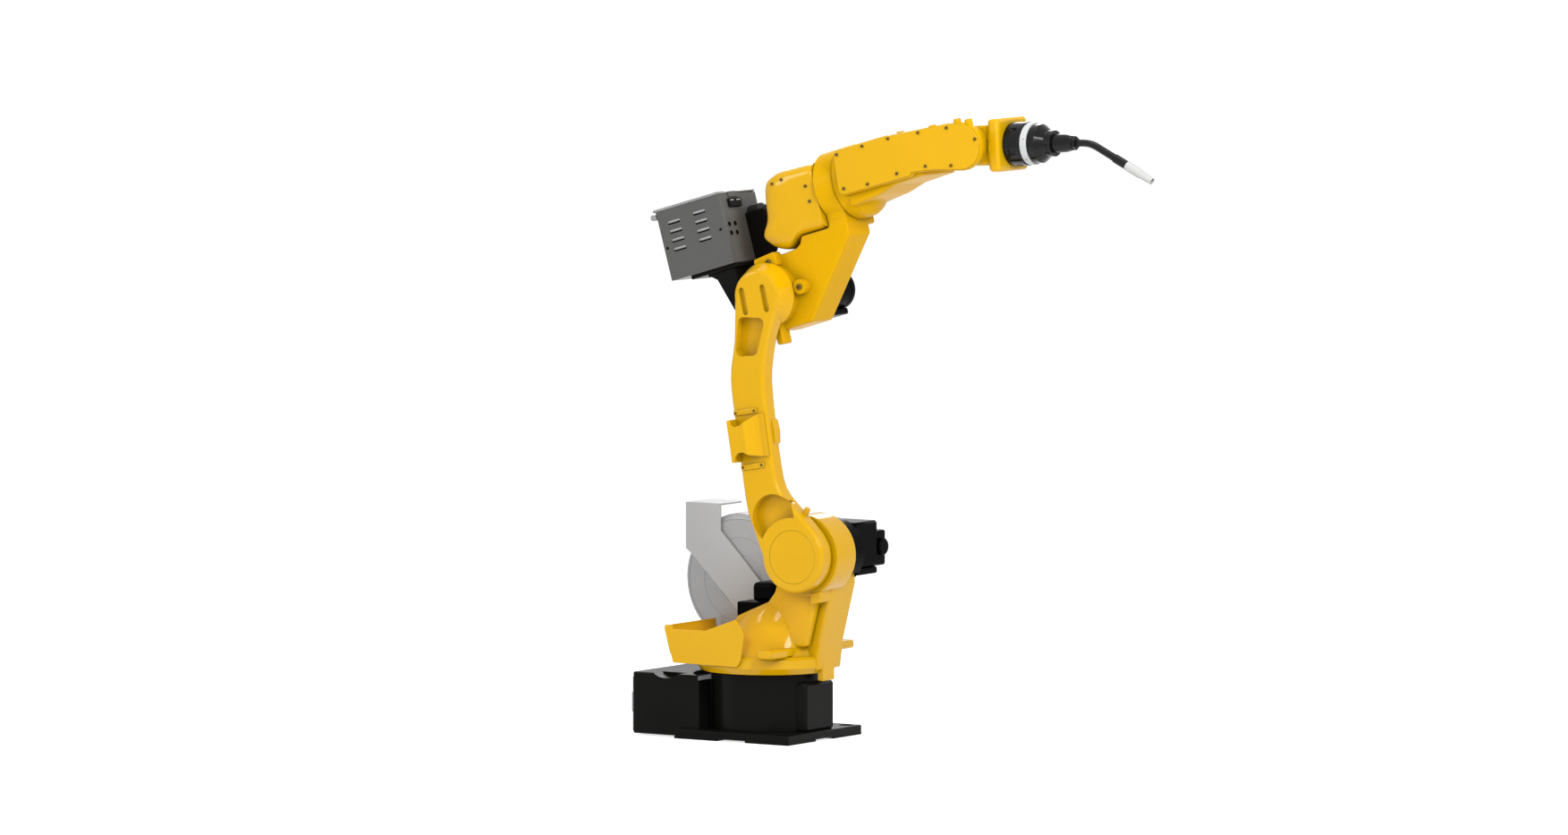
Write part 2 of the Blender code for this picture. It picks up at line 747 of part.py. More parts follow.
def make_waist_motors(waist):
    floor = J1_MOTOR_SEAT + GAP
    top = J1_MOTOR_SEAT + 50 * MM
    j1 = block(
        "j1_motor",
        waist,
        (-J1_MOTOR_HALF - 8 * MM, -J1_MOTOR_HALF, floor),
        (J1_MOTOR_HALF, J1_MOTOR_HALF - 6 * MM, top),
        rim=3 * MM,
    )
    finish(j1, MOTOR_BLACK)
    cap = block(
        "j1_encoder_cap",
        waist,
        (-19 * MM, -J1_MOTOR_HALF + 7 * MM, top + GAP),
        (J1_MOTOR_HALF - 3 * MM, J1_MOTOR_HALF - 7 * MM, top + 46 * MM),
        rim=12 * MM,
        segments=3,
    )
    finish(cap, MOTOR_BLACK)

    x, z = SHOULDER_REACH, SHOULDER_HEIGHT + 14 * MM
    axis = SHOULDER_HEIGHT
    motor = block(
        "j2_motor",
        waist,
        (x - J2_MOTOR_HALF, COLUMN_FAR + GAP, z - J2_MOTOR_HALF),
        (x + J2_MOTOR_HALF, J2_MOTOR_END, z + J2_MOTOR_HALF),
        rim=5 * MM,
    )
    pilot = bar(
        "pilot",
        waist,
        (x, HOUSING_FAR + GAP, SHOULDER_HEIGHT),
        (x, COLUMN_FAR + 2 * MM, SHOULDER_HEIGHT),
        78 * MM,
        rim=2 * MM,
    )
    unite(motor, pilot)
    notch = slab(
        "column_clear",
        waist,
        [
            (x - 90 * MM, axis - 50 * MM),
            (x - 58 * MM, axis - 28 * MM),
            (x, axis + 12 * MM),
            (x + 52 * MM, axis - 28 * MM),
            (x + 90 * MM, axis - 90 * MM),
            (x, axis - 130 * MM),
        ],
        HOUSING_FAR - MM,
        COLUMN_FAR + GAP / 2,
    )
    cut(motor, notch)
    finish(motor, MOTOR_BLACK)
    encoder = block(
        "j2_encoder_cap",
        waist,
        (x - 45 * MM, J2_MOTOR_END + GAP, z - 54 * MM),
        (x + 45 * MM, J2_MOTOR_END + 47 * MM, z + 28 * MM),
        rim=6 * MM,
        segments=3,
    )
    plug = bar(
        "plug",
        waist,
        (x + 40 * MM, J2_MOTOR_END + 24 * MM, z - 10 * MM),
        (x + 56 * MM, J2_MOTOR_END + 24 * MM, z - 10 * MM),
        20 * MM,
        rim=3 * MM,
        sides=24,
    )
    unite(encoder, plug)
    finish(encoder, MOTOR_BLACK)
    connector = block(
        "j2_connector_block",
        waist,
        (x - 34 * MM, COLUMN_FAR + 12 * MM, z - J2_MOTOR_HALF - 16 * MM),
        (x + J2_MOTOR_HALF, J2_MOTOR_END - 1 * MM, z - J2_MOTOR_HALF - GAP),
        rim=3 * MM,
    )
    finish(connector, MOTOR_BLACK)


def make_tray(waist):
    back, front = -172 * MM, 45 * MM
    reach = RING_RADIUS + 5 * MM
    wall = 4 * MM
    floor = RING_TOP + GAP
    top = 262 * MM
    side = [
        (back, top),
        (back, 250 * MM),
        (-149 * MM, 176 * MM),
        (26 * MM, 174 * MM),
        (36 * MM, 190 * MM),
        (front, 250 * MM),
        (38 * MM, 262 * MM),
        (22 * MM, 284 * MM),
        (12 * MM, 280 * MM),
        (-60 * MM, 254 * MM),
        (back + 22 * MM, 253 * MM),
        (back + 22 * MM, top),
    ]
    tray = slab("cable_tray", waist, side, -reach, -reach + wall, rim=1 * MM, segments=1)
    low_side = [
        (-159 * MM, 204 * MM),
        (-149 * MM, 176 * MM),
        (26 * MM, 174 * MM),
        (36 * MM, 190 * MM),
        (38 * MM, 204 * MM),
        (-58 * MM, 204 * MM),
        (-66 * MM, 194 * MM),
        (-152 * MM, 194 * MM),
        (-156 * MM, 204 * MM),
    ]
    far_side = slab("far_side", waist, low_side, reach - wall, reach, rim=1 * MM, segments=1)
    rear = slab(
        "rear",
        waist,
        [
            (back + 0.2 * MM, top - MM),
            (back + 0.2 * MM, 250 * MM),
            (-157 * MM, floor),
            (-157 * MM + wall, floor),
            (back + wall, 250 * MM),
            (back + wall, top - MM),
        ],
        -reach + MM,
        SPOOL_NEAR - 12 * MM,
    )
    low_rear = slab(
        "low_rear",
        waist,
        [(-158 * MM, 203 * MM), (-157 * MM, floor), (-157 * MM + wall, floor), (-158 * MM + wall, 203 * MM)],
        SPOOL_NEAR - 13 * MM,
        reach - MM,
    )
    sheet = block(
        "sheet",
        waist,
        (-157 * MM, -reach + MM, floor),
        (30 * MM, reach - MM, floor + wall),
    )
    unite(tray, far_side, sheet, rear, low_rear)
    window = block(
        "spool_window",
        waist,
        (SPOOL_X - 36 * MM, SPOOL_NEAR - 4 * MM, floor - MM),
        (SPOOL_X + 42 * MM, reach + 2 * MM, floor + wall + MM),
    )
    clearance = loft(
        "shoulder_clear",
        waist,
        [
            squircle((0, 0), 153 * MM, 153 * MM, 2.0, RING_TOP - MM, 0.0),
            squircle((4 * MM, 0), 146 * MM, 140 * MM, 2.1, 214 * MM, 0.0),
            squircle((4 * MM, 0), 136 * MM, 130 * MM, 2.1, 300 * MM, 0.0),
        ],
    )
    cut(tray, clearance, window)
    finish(tray, YELLOW)


def make_spool_mount(waist):
    y = SPOOL_NEAR - 4 * MM - BRACKET_SHEET
    rear, front = SPOOL_X - 144 * MM, SPOOL_X - 47.7 * MM
    top = SPOOL_Z + BRACKET_TOP
    strap = [
        (rear, top),
        (rear, SPOOL_Z + 66 * MM),
        (rear + 16 * MM, SPOOL_Z + 54 * MM),
        (SPOOL_X + 14 * MM, SPOOL_Z - 86 * MM),
        (SPOOL_X + 14 * MM, BRACKET_FOOT + GAP),
        (SPOOL_X + 90 * MM, BRACKET_FOOT + GAP),
        (SPOOL_X + 90 * MM, SPOOL_Z - 30 * MM),
        (front, SPOOL_Z + 111 * MM),
        (front, top),
    ]
    bracket = slab("spool_bracket", waist, strap, y, y + BRACKET_SHEET, rim=0.8 * MM, segments=1)
    corner = 22 * MM
    reach = y + 105 * MM - corner
    flange_outline = (
        [(rear, y + MM), (front, y + MM)]
        + arc((front - corner, reach), corner, 0, 90, 5)
        + arc((rear + corner, reach), corner, 90, 180, 5)
    )
    flange = slab("flange", waist, flange_outline, top - BRACKET_SHEET, top, along="Z")
    unite(bracket, flange)
    finish(bracket, PLATE_GREY)

    spindle_end = SPOOL_NEAR + SPOOL_WIDTH - 12 * MM
    spindle = turned(
        "spool_spindle",
        waist,
        [
            (0.0, spindle_end - y - BRACKET_SHEET),
            (SPINDLE_RADIUS - 3 * MM, spindle_end - y - BRACKET_SHEET),
            (SPINDLE_RADIUS, spindle_end - y - BRACKET_SHEET - 3 * MM),
            (SPINDLE_RADIUS, 10 * MM),
            (SPINDLE_RADIUS + 12 * MM, 10 * MM),
            (SPINDLE_RADIUS + 12 * MM, 7 * MM),
            (14 * MM, 7 * MM),
            (14 * MM, GAP),
            (0.0, GAP),
        ],
        (SPOOL_X, y + BRACKET_SHEET, SPOOL_Z),
        (0, 1, 0),
        sides=32,
    )
    finish(spindle, BLACK)

    half = SPOOL_WIDTH / 2
    edge = 16 * MM
    shoulder = [
        (SPOOL_RADIUS - edge + edge * math.sin(math.radians(a)), -edge + edge * math.cos(math.radians(a)))
        for a in (0, 30, 60, 90)
    ]
    inner = [
        (SPOOL_RADIUS - edge + (edge - SPOOL_WALL) * math.sin(math.radians(a)),
         -edge + (edge - SPOOL_WALL) * math.cos(math.radians(a)))
        for a in (90, 60, 30, 0)
    ]
    hole = 15 * MM
    cup = (
        [(hole, 0.0)]
        + shoulder
        + [(SPOOL_RADIUS, -half), (SPOOL_RADIUS - SPOOL_WALL, -half)]
        + inner
        + [(hole, -SPOOL_WALL)]
    )
    near = turned(
        "spool_cover_near", waist, cup, (SPOOL_X, SPOOL_NEAR, SPOOL_Z), (0, -1, 0), sides=48
    )
    finish(near, CLEAR_GREY)
    lid = (
        [(hole, 0.0)]
        + shoulder
        + [(SPOOL_RADIUS, -half + GAP), (SPOOL_RADIUS - SPOOL_WALL, -half + GAP)]
        + inner
        + [(hole, -SPOOL_WALL)]
    )
    far = turned(
        "spool_cover_far", waist, lid, (SPOOL_X, SPOOL_NEAR + SPOOL_WIDTH, SPOOL_Z), (0, 1, 0), sides=48
    )
    finish(far, CLEAR_GREY)
    knob = turned(
        "spool_nut",
        waist,
        [(0.0, 22 * MM), (13 * MM, 22 * MM), (14 * MM, 18 * MM), (14 * MM, 0.0), (0.0, 0.0)],
        (SPOOL_X, spindle_end + GAP, SPOOL_Z),
        (0, 1, 0),
        sides=24,
    )
    finish(knob, RUBBER)


def make_spool(spool):
    start = 13 * MM
    bore = SPINDLE_RADIUS + PLAY
    hub = REEL_HUB_RADIUS
    reel = turned(
        "spool_reel",
        spool,
        [
            (REEL_RADIUS, REEL_WIDTH),
            (REEL_RADIUS, REEL_WIDTH - REEL_WALL),
            (hub, REEL_WIDTH - REEL_WALL),
            (hub, REEL_WALL),
            (REEL_RADIUS, REEL_WALL),
            (REEL_RADIUS, 0.0),
            (bore, 0.0),
            (bore, REEL_WIDTH),
        ],
        (0, start, 0),
        (0, 1, 0),
    )
    finish(reel, RUBBER)
    coil = turned(
        "wire_winding",
        spool,
        [
            (WINDING_RADIUS, REEL_WIDTH - REEL_WALL - GAP),
            (WINDING_RADIUS, REEL_WALL + GAP),
            (hub + GAP, REEL_WALL + GAP),
            (hub + GAP, REEL_WIDTH - REEL_WALL - GAP),
        ],
        (0, start, 0),
        (0, 1, 0),
    )
    finish(coil, COPPER)


# Lower arm

def arm_outline():
    """The banana-shaped side view of the lower arm, from its upper round end anticlockwise."""
    top = (0.0, LOWER_ARM_LENGTH)
    rear = [
        (-59 * MM, 612 * MM),
        (-78 * MM, 508 * MM),
        (-97 * MM, 450 * MM),
        (-105 * MM, 400 * MM),
        (-106 * MM, 330 * MM),
        (-107 * MM, 200 * MM),
        (-106 * MM, 120 * MM),
        (-97 * MM, 78 * MM),
        (-84 * MM, 20 * MM),
    ]
    front = [
        (82 * MM, 14 * MM),
        (70 * MM, 45 * MM),
        (40 * MM, 85 * MM),
        (8 * MM, 126 * MM),
        (-12 * MM, 160 * MM),
        (-18 * MM, 210 * MM),
        (-17 * MM, 320 * MM),
        (-12 * MM, 405 * MM),
        (0 * MM, 455 * MM),
        (18 * MM, 505 * MM),
        (38 * MM, 542 * MM),
        (54 * MM, 575 * MM),
    ]
    return (
        arc(top, ARM_HIGH_RADIUS, -12, 165, 16)
        + smooth(rear, 2)
        + arc((0, 0), ARM_LOW_RADIUS, 172, 364, 20)
        + smooth(front, 2)
    )


def make_lower_arm(arm):
    casting = slab("lower_arm_casting", arm, arm_outline(), ARM_NEAR, ARM_BACK, rim=ARM_RIM, segments=3)
    top = (0, ARM_NEAR + 2 * MM, LOWER_ARM_LENGTH)
    flare = bar(
        "flare",
        arm,
        top,
        (0, ARM_BACK, LOWER_ARM_LENGTH),
        ARM_HIGH_RADIUS - 2 * MM,
        end_radius=ARM_HIGH_RADIUS + ARM_HIGH_FLARE,
    )
    bump = slab(
        "bump",
        arm,
        [(-30 * MM, 252 * MM), (-14 * MM, 264 * MM), (-11 * MM, 290 * MM), (-13 * MM, 316 * MM), (-30 * MM, 328 * MM)],
        ARM_BACK - 24 * MM,
        ARM_BACK - 1 * MM,
        rim=2 * MM,
    )
    eye_y = ARM_BACK - 14 * MM
    eye = bar("eye", arm, (20 * MM, eye_y, 78 * MM), (43 * MM, eye_y, 106 * MM), 7 * MM, rim=1 * MM, sides=16)
    unite(casting, flare, bump, eye)

    floor = ARM_NEAR + POCKET_DEPTH
    upper = slab(
        "upper_pocket",
        arm,
        rounded([(-56 * MM, 560 * MM), (16 * MM, 548 * MM), (-22 * MM, 467 * MM), (-79 * MM, 471 * MM)], 13 * MM),
        ARM_NEAR - MM,
        floor,
    )
    lower = bar("lower_pocket", arm, (-37 * MM, ARM_NEAR - MM, 93 * MM), (-37 * MM, floor, 93 * MM), 56 * MM)
    keep = bar("boss_keep", arm, (0, ARM_NEAR - 2 * MM, 0), (0, floor + MM, 0), 90 * MM, sides=64)
    cut(lower, keep)
    slots = []
    for x_low, x_high in ((-35 * MM, -38 * MM), (23 * MM, 19.5 * MM)):
        slots.append(slab(
            "slot",
            arm,
            slot_outline((x_low, 569 * MM), (x_high, 618 * MM), 7.5 * MM),
            ARM_NEAR - MM,
            ARM_NEAR + 8 * MM,
        ))
    disc_seat = bar(
        "disc_seat",
        arm,
        (0, ARM_NEAR - MM, 0),
        (0, ARM_NEAR + COVER_DISC_THICKNESS, 0),
        COVER_DISC_RADIUS + GAP,
    )
    cut(casting, upper, lower, *slots, disc_seat)
    finish(casting, YELLOW)

    disc = bar(
        "j2_cover_disc",
        arm,
        (0, ARM_NEAR, 0),
        (0, ARM_NEAR + COVER_DISC_THICKNESS - GAP, 0),
        COVER_DISC_RADIUS,
        rim=0.6 * MM,
    )
    finish(disc, YELLOW)
    for name, height, far in (
        ("j2_reducer", 0.0, HOUSING_NEAR + 29 * MM),
        ("j3_reducer", LOWER_ARM_LENGTH, ELBOW_NEAR + 29 * MM),
    ):
        radius = JOINT_SEAL_RADIUS if height == 0.0 else JOINT_SEAL_RADIUS - 12 * MM
        flange = bar(name, arm, (0, ARM_BACK + GAP, height), (0, far, height), radius, rim=1.5 * MM)
        finish(flange, STEEL)
    make_hood(arm)


def make_hood(arm):
    """The bridge that carries the cables across the face of the lower arm, open above and below."""
    near = ARM_NEAR - HOOD_DEPTH
    back = ARM_NEAR - GAP
    sheet = back - 4 * MM
    low, high = 236 * MM, 336 * MM
    left, right = -105 * MM, -22 * MM
    side = [
        (right, high),
        (right - 18 * MM, high - 3 * MM),
        (right - 36 * MM, high - 14 * MM),
        (right - 50 * MM, high - 22 * MM),
        (left + 17 * MM, high - 24 * MM),
        (left + 9 * MM, high - 18 * MM),
        (left + 7 * MM, high - 6 * MM),
        (left, high - 8 * MM),
        (left, low - 4 * MM),
        (left + 7 * MM, low - 5 * MM),
        (left + 9 * MM, low + 7 * MM),
        (left + 19 * MM, low + 16 * MM),
        (left + 33 * MM, low + 16 * MM),
        (right - 36 * MM, low + 8 * MM),
        (right - 18 * MM, low + 2 * MM),
        (right, low),
    ]
    hood = slab("cable_hood", arm, side, near, back, rim=1.6 * MM)
    slant = slab(
        "slant",
        arm,
        [
            (left + 42 * MM, near - 2 * MM),
            (right - 14 * MM, sheet),
            (right + 10 * MM, sheet),
            (right + 10 * MM, near - 2 * MM),
        ],
        low - 20 * MM,
        high + 10 * MM,
        along="Z",
    )
    wall = HOOD_WALL
    tunnel = slab(
        "tunnel",
        arm,
        [
            (left + wall, near + wall),
            (left + 39 * MM, near + wall),
            (right - 24 * MM, sheet - MM),
            (right - 24 * MM, back + MM),
            (left + wall, back + MM),
        ],
        low - 20 * MM,
        high + 10 * MM,
        along="Z",
    )
    cut(hood, slant, tunnel)
    finish(hood, YELLOW)
    for name, z in (("strap_plate_upper", high + 7.5 * MM), ("strap_plate_lower", low - 18 * MM)):
        plate = block(
            name,
            arm,
            (left + 2 * MM, ARM_NEAR - GAP - 3 * MM, z - 6.5 * MM),
            (right - 18 * MM, ARM_NEAR - GAP, z + 6.5 * MM),
            rim=1 * MM,
        )
        finish(plate, YELLOW)


# Elbow

def make_elbow(elbow):
    strut_outline = [
        (0, -86 * MM),
        (87 * MM, -85 * MM),
        (J4_FACE, 83 * MM),
        (J4_FACE, 128 * MM),
        (196 * MM, 128 * MM),
        (188 * MM, 111.5 * MM),
        (112 * MM, 111.5 * MM),
        (104 * MM, 95 * MM),
        (90 * MM, 87 * MM),
        (57 * MM, 84 * MM),
        (0, 85 * MM),
    ]
    casting = bar(
        "elbow_casting", elbow, (0, -42 * MM, 0), (0, ELBOW_FAR, 0), ELBOW_RADIUS, rim=3 * MM, segments=2
    )
    neck = bar("neck", elbow, (0, ELBOW_NEAR, 0), (0, -40 * MM, 0), ELBOW_NECK_RADIUS, rim=2 * MM)
    strut = slab("strut", elbow, strut_outline, -62 * MM, ELBOW_FAR, rim=6 * MM)
    housing = bar(
        "j4_housing",
        elbow,
        (188.5 * MM, 0, ELBOW_OFFSET),
        (J4_FACE, 0, ELBOW_OFFSET),
        J4_HOUSING_RADIUS,
        rim=3 * MM,
    )
    ledge = block("ledge", elbow, (189 * MM, -60 * MM, 104 * MM), (J4_FACE - MM, 60 * MM, 150 * MM), rim=4 * MM)
    lug = block("lug", elbow, (-8 * MM, -78 * MM, -116 * MM), (13 * MM, -42 * MM, -66 * MM), rim=4 * MM)
    tab = slab(
        "strap_tab",
        elbow,
        rounded([(-13 * MM, 64 * MM), (-14 * MM, 86 * MM), (46 * MM, 92 * MM), (46 * MM, 58 * MM)], 5 * MM, 2),
        ELBOW_NEAR - 2 * MM,
        ELBOW_NEAR + 26 * MM,
        rim=1.5 * MM,
        segments=1,
    )
    pad = bar(
        "pad",
        elbow,
        (92 * MM, ELBOW_NEAR + 34 * MM, -2 * MM),
        (92 * MM, ELBOW_NEAR - 2 * MM, -2 * MM),
        17 * MM,
        sides=24,
    )
    rear_pad = block(
        "rear_pad", elbow, (-96 * MM, -40 * MM, -38 * MM), (-58 * MM, 20 * MM, 50 * MM), rim=3 * MM
    )
    unite(casting, neck, strut, housing, ledge, lug, tab, pad, rear_pad)
    recess = bar(
        "j3_recess",
        elbow,
        (0, ELBOW_NEAR - 3 * MM, 0),
        (0, ELBOW_NEAR + 30 * MM, 0),
        JOINT_SEAL_RADIUS - 12 * MM + PLAY,
    )
    cut(casting, recess)
    finish(casting, YELLOW)
    make_j4_cover(elbow)

    motor = bar(
        "j3_motor",
        elbow,
        (J3_MOTOR_X, ELBOW_FAR + GAP, J3_MOTOR_Z),
        (J3_MOTOR_X, J3_MOTOR_END, J3_MOTOR_Z),
        J3_MOTOR_RADIUS,
        rim=5 * MM,
    )
    finish(motor, MOTOR_BLACK)
    connector = block(
        "j3_connector_block",
        elbow,
        (J3_MOTOR_X - 24 * MM, ELBOW_FAR + 3 * MM, J3_MOTOR_Z - J3_MOTOR_RADIUS - 15 * MM),
        (J3_MOTOR_X + 18 * MM, J3_MOTOR_END - 12 * MM, J3_MOTOR_Z - J3_MOTOR_RADIUS - GAP),
        rim=3 * MM,
    )
    finish(connector, MOTOR_BLACK)


def make_j4_cover(elbow):
    """The rounded hood over the J4 motor. Its side view shrinks towards its seat as it nears either side."""
    outline = rounded(
        [
            (188 * MM, 264 * MM),
            (68 * MM, 267 * MM),
            (43 * MM, 244 * MM),
            (37 * MM, 168 * MM),
            (9 * MM, 131 * MM),
            (38 * MM, 101 * MM),
            (72 * MM, 89 * MM),
            (102 * MM, 112 * MM),
            (188 * MM, 112 * MM),
        ],
        12 * MM,
        steps=3,
    )
    seat_x, seat_z = 188 * MM, 185 * MM
    half_turn = []
    for degrees in (-90, -72, -52, -28, 0, 28, 52, 72, 90):
        angle = math.radians(degrees)
        y = COVER_HALF_WIDTH * math.copysign(abs(math.sin(angle)) ** 0.7, degrees)
        size = 0.86 + 0.14 * math.cos(angle) ** 0.8
        half_turn.append([(seat_x + (x - seat_x) * size, y, seat_z + (z - seat_z) * size) for x, z in outline])
    finish(loft("j4_motor_cover", elbow, half_turn), YELLOW)


# Wire feeder

def make_feeder(elbow):
    sheet = FEEDER_SHEET
    plate = block(
        "feeder_base_plate",
        elbow,
        (-214 * MM, FEEDER_NEAR + 12 * MM, FEEDER_BOTTOM - 9 * MM),
        (FEEDER_FRONT, FEEDER_FAR - 6 * MM, FEEDER_BOTTOM - GAP),
        rim=1 * MM,
        segments=1,
    )
    finish(plate, BLACK)
    under = FEEDER_BOTTOM - 9 * MM - GAP
    rear_face = -96 * MM - GAP
    near_gusset = [
        (-172 * MM, under),
        (-150 * MM, 70 * MM),
        (-113 * MM, -36 * MM),
        (rear_face, -36 * MM),
        (rear_face, under),
    ]
    far_gusset = near_gusset[:3] + [
        (rear_face, -36 * MM),
        (-92 * MM, 20 * MM),
        (-34 * MM, 88 * MM),
        (-16 * MM, 112 * MM),
        (-24 * MM, 200 * MM),
        (-30 * MM, 207 * MM),
        (FEEDER_FRONT + GAP, 207 * MM),
        (FEEDER_FRONT + GAP, under),
    ]
    bracket = slab("feeder_bracket", elbow, near_gusset, -40 * MM, -34 * MM)
    gusset = slab("gusset", elbow, far_gusset, 31 * MM, 36 * MM)
    web = block("web", elbow, (-101 * MM, -40 * MM, -36 * MM), (rear_face, 34 * MM, under))
    top = block("top", elbow, (-172 * MM, -40 * MM, under - 5 * MM), (rear_face, 34 * MM, under))
    unite(bracket, gusset, web, top)
    finish(bracket, BLACK)

    box = block(
        "feeder_box",
        elbow,
        (FEEDER_BACK, FEEDER_NEAR + sheet + GAP, FEEDER_BOTTOM),
        (FEEDER_FRONT, FEEDER_FAR, FEEDER_TOP - 5 * MM),
        rim=2 * MM,
        segments=1,
    )
    inside = block(
        "inside",
        elbow,
        (FEEDER_BACK + sheet, FEEDER_NEAR - MM, FEEDER_BOTTOM + sheet),
        (FEEDER_FRONT - sheet, FEEDER_FAR - sheet, FEEDER_TOP + MM),
    )
    wire_hole = bar(
        "wire_hole",
        elbow,
        (FEEDER_BACK - MM, WIRE_Y, ELBOW_OFFSET),
        (FEEDER_BACK + 4 * MM, WIRE_Y, ELBOW_OFFSET),
        7 * MM,
        sides=20,
    )
    gun_hole = bar(
        "gun_hole",
        elbow,
        (FEEDER_FRONT - 4 * MM, WIRE_Y, ELBOW_OFFSET),
        (FEEDER_FRONT + MM, WIRE_Y, ELBOW_OFFSET),
        19 * MM,
    )
    cut(box, inside, wire_hole, gun_hole)
    finish(box, SHEET_GREY)

    cover = block(
        "feeder_side_cover",
        elbow,
        (FEEDER_BACK, FEEDER_NEAR, FEEDER_BOTTOM),
        (FEEDER_FRONT, FEEDER_NEAR + sheet, FEEDER_TOP - 5 * MM),
        rim=0.7 * MM,
        segments=1,
    )
    louvers = []
    for column in (-232 * MM, -159 * MM):
        for row in range(4):
            x = column
            z = (228 - 21 * row) * MM - (4 * MM if column < -200 * MM else 0)
            louvers.append(slab(
                "louver",
                elbow,
                slot_outline((x, z), (x + 30 * MM, z), 2.5 * MM, 4),
                FEEDER_NEAR - MM,
                FEEDER_NEAR + sheet + MM,
            ))
    cut(cover, *louvers)
    finish(cover, SHEET_GREY)

    plate = block(
        "feed_plate",
        elbow,
        (ROLL_X - 56 * MM, WIRE_Y - 22 * MM, FEEDER_BOTTOM + sheet + GAP),
        (ROLL_X + 56 * MM, WIRE_Y - 14 * MM, 244 * MM),
        rim=1 * MM,
        segments=1,
    )
    shaft_hole = bar(
        "shaft_hole",
        elbow,
        (ROLL_X, WIRE_Y - 23 * MM, ELBOW_OFFSET - ROLL_RADIUS),
        (ROLL_X, WIRE_Y - 13 * MM, ELBOW_OFFSET - ROLL_RADIUS),
        8 * MM,
        sides=24,
    )
    cut(plate, shaft_hole)
    finish(plate, STEEL)
    motor = bar(
        "feed_motor",
        elbow,
        (ROLL_X, WIRE_Y - 22 * MM - GAP, ELBOW_OFFSET - ROLL_RADIUS),
        (ROLL_X, WIRE_Y - 86 * MM, ELBOW_OFFSET - ROLL_RADIUS),
        31 * MM,
        rim=2 * MM,
        sides=32,
    )
    finish(motor, MOTOR_BLACK)
    inlet = turned(
        "wire_inlet",
        elbow,
        [
            (9 * MM, 0.0),
            (9 * MM, -12 * MM),
            (6.6 * MM, -12 * MM),
            (6.6 * MM, -60 * MM),
            (2 * MM, -60 * MM),
            (2 * MM, 0.0),
        ],
        (FEEDER_BACK - 12 * MM - GAP, WIRE_Y, ELBOW_OFFSET),
        (-1, 0, 0),
        sides=20,
    )
    finish(inlet, BRASS)
    connector = turned(
        "gun_connector",
        elbow,
        [
            (18.6 * MM, 14 * MM),
            (18.6 * MM, -GAP),
            (24 * MM, -GAP),
            (24 * MM, -30 * MM),
            (17 * MM, -38 * MM),
            (17 * MM, -58 * MM),
            (3 * MM, -58 * MM),
            (3 * MM, 14 * MM),
        ],
        (FEEDER_FRONT, WIRE_Y, ELBOW_OFFSET),
        (-1, 0, 0),
        sides=32,
    )
    finish(connector, RUBBER)


def make_feed_rolls(roll, arm_pivot, pressure):
    """The driven roll below the wire, and the pressure roll above it on its swing arm."""
    half = ROLL_WIDTH / 2
    drive = turned(
        "drive_roll",
        roll,
        [
            (0.0, 22 * MM),
            (8 * MM - GAP, 22 * MM),
            (8 * MM - GAP, half),
            (ROLL_RADIUS - 2 * MM, half),
            (ROLL_RADIUS - 0.6 * MM, half - 1.5 * MM),
            (ROLL_RADIUS - 0.6 * MM, 1 * MM),
            (ROLL_RADIUS - 1.4 * MM, 0.0),
            (ROLL_RADIUS - 0.6 * MM, -1 * MM),
            (ROLL_RADIUS - 0.6 * MM, 1.5 * MM - half),
            (ROLL_RADIUS - 2 * MM, -half),
            (0.0, -half),
        ],
        (0, 0, 0),
        (0, -1, 0),
        sides=24,
    )
    finish(drive, STEEL)
    swing = slab(
        "pressure_arm",
        arm_pivot,
        slot_outline((0, 0), (44 * MM, 0), 9 * MM),
        GAP - 14 * MM,
        -half - 1 * MM,
        rim=1 * MM,
        segments=1,
    )
    pin = bar("pin", arm_pivot, (44 * MM, half + 4 * MM, 0), (44 * MM, -half - 2 * MM, 0), 5 * MM, sides=20)
    unite(swing, pin)
    finish(swing, SHEET_GREY)
    idle = turned(
        "pressure_roll",
        pressure,
        [
            (ROLL_RADIUS - 2 * MM, half),
            (ROLL_RADIUS - 0.6 * MM, half - 1.5 * MM),
            (ROLL_RADIUS - 0.6 * MM, 1.5 * MM - half),
            (ROLL_RADIUS - 2 * MM, -half),
            (5 * MM + GAP, -half),
            (5 * MM + GAP, half),
        ],
        (0, 0, 0),
        (0, 1, 0),
        sides=24,
    )
    finish(idle, STEEL)


def make_feeder_lid(lid):
    """The hinged top of the feeder, on a rod along its rear edge. The origin is the rod's axis."""
    length = FEEDER_FRONT - FEEDER_BACK
    rise = FEEDER_TOP - LID_AXIS_Z
    top = block(
        "feeder_lid",
        lid,
        (0, FEEDER_NEAR - 1 * MM, rise - 5 * MM + GAP),
        (length + FEEDER_BACK - LID_AXIS_X, FEEDER_FAR + 1 * MM, rise + 2 * MM),
        rim=2.4 * MM,
    )
    rod = bar("rod", lid, (0, FEEDER_NEAR - 4 * MM, 0), (0, FEEDER_FAR + 4 * MM, 0), 7 * MM, rim=1.5 * MM, sides=24)
    arm = block(
        "arm",
        lid,
        (-5 * MM, FEEDER_NEAR + 20 * MM, 0),
        (FEEDER_BACK - LID_AXIS_X - GAP, FEEDER_FAR - 20 * MM, rise + 1 * MM),
    )
    unite(top, rod, arm)
    finish(top, PLATE_GREY)


# Forearm

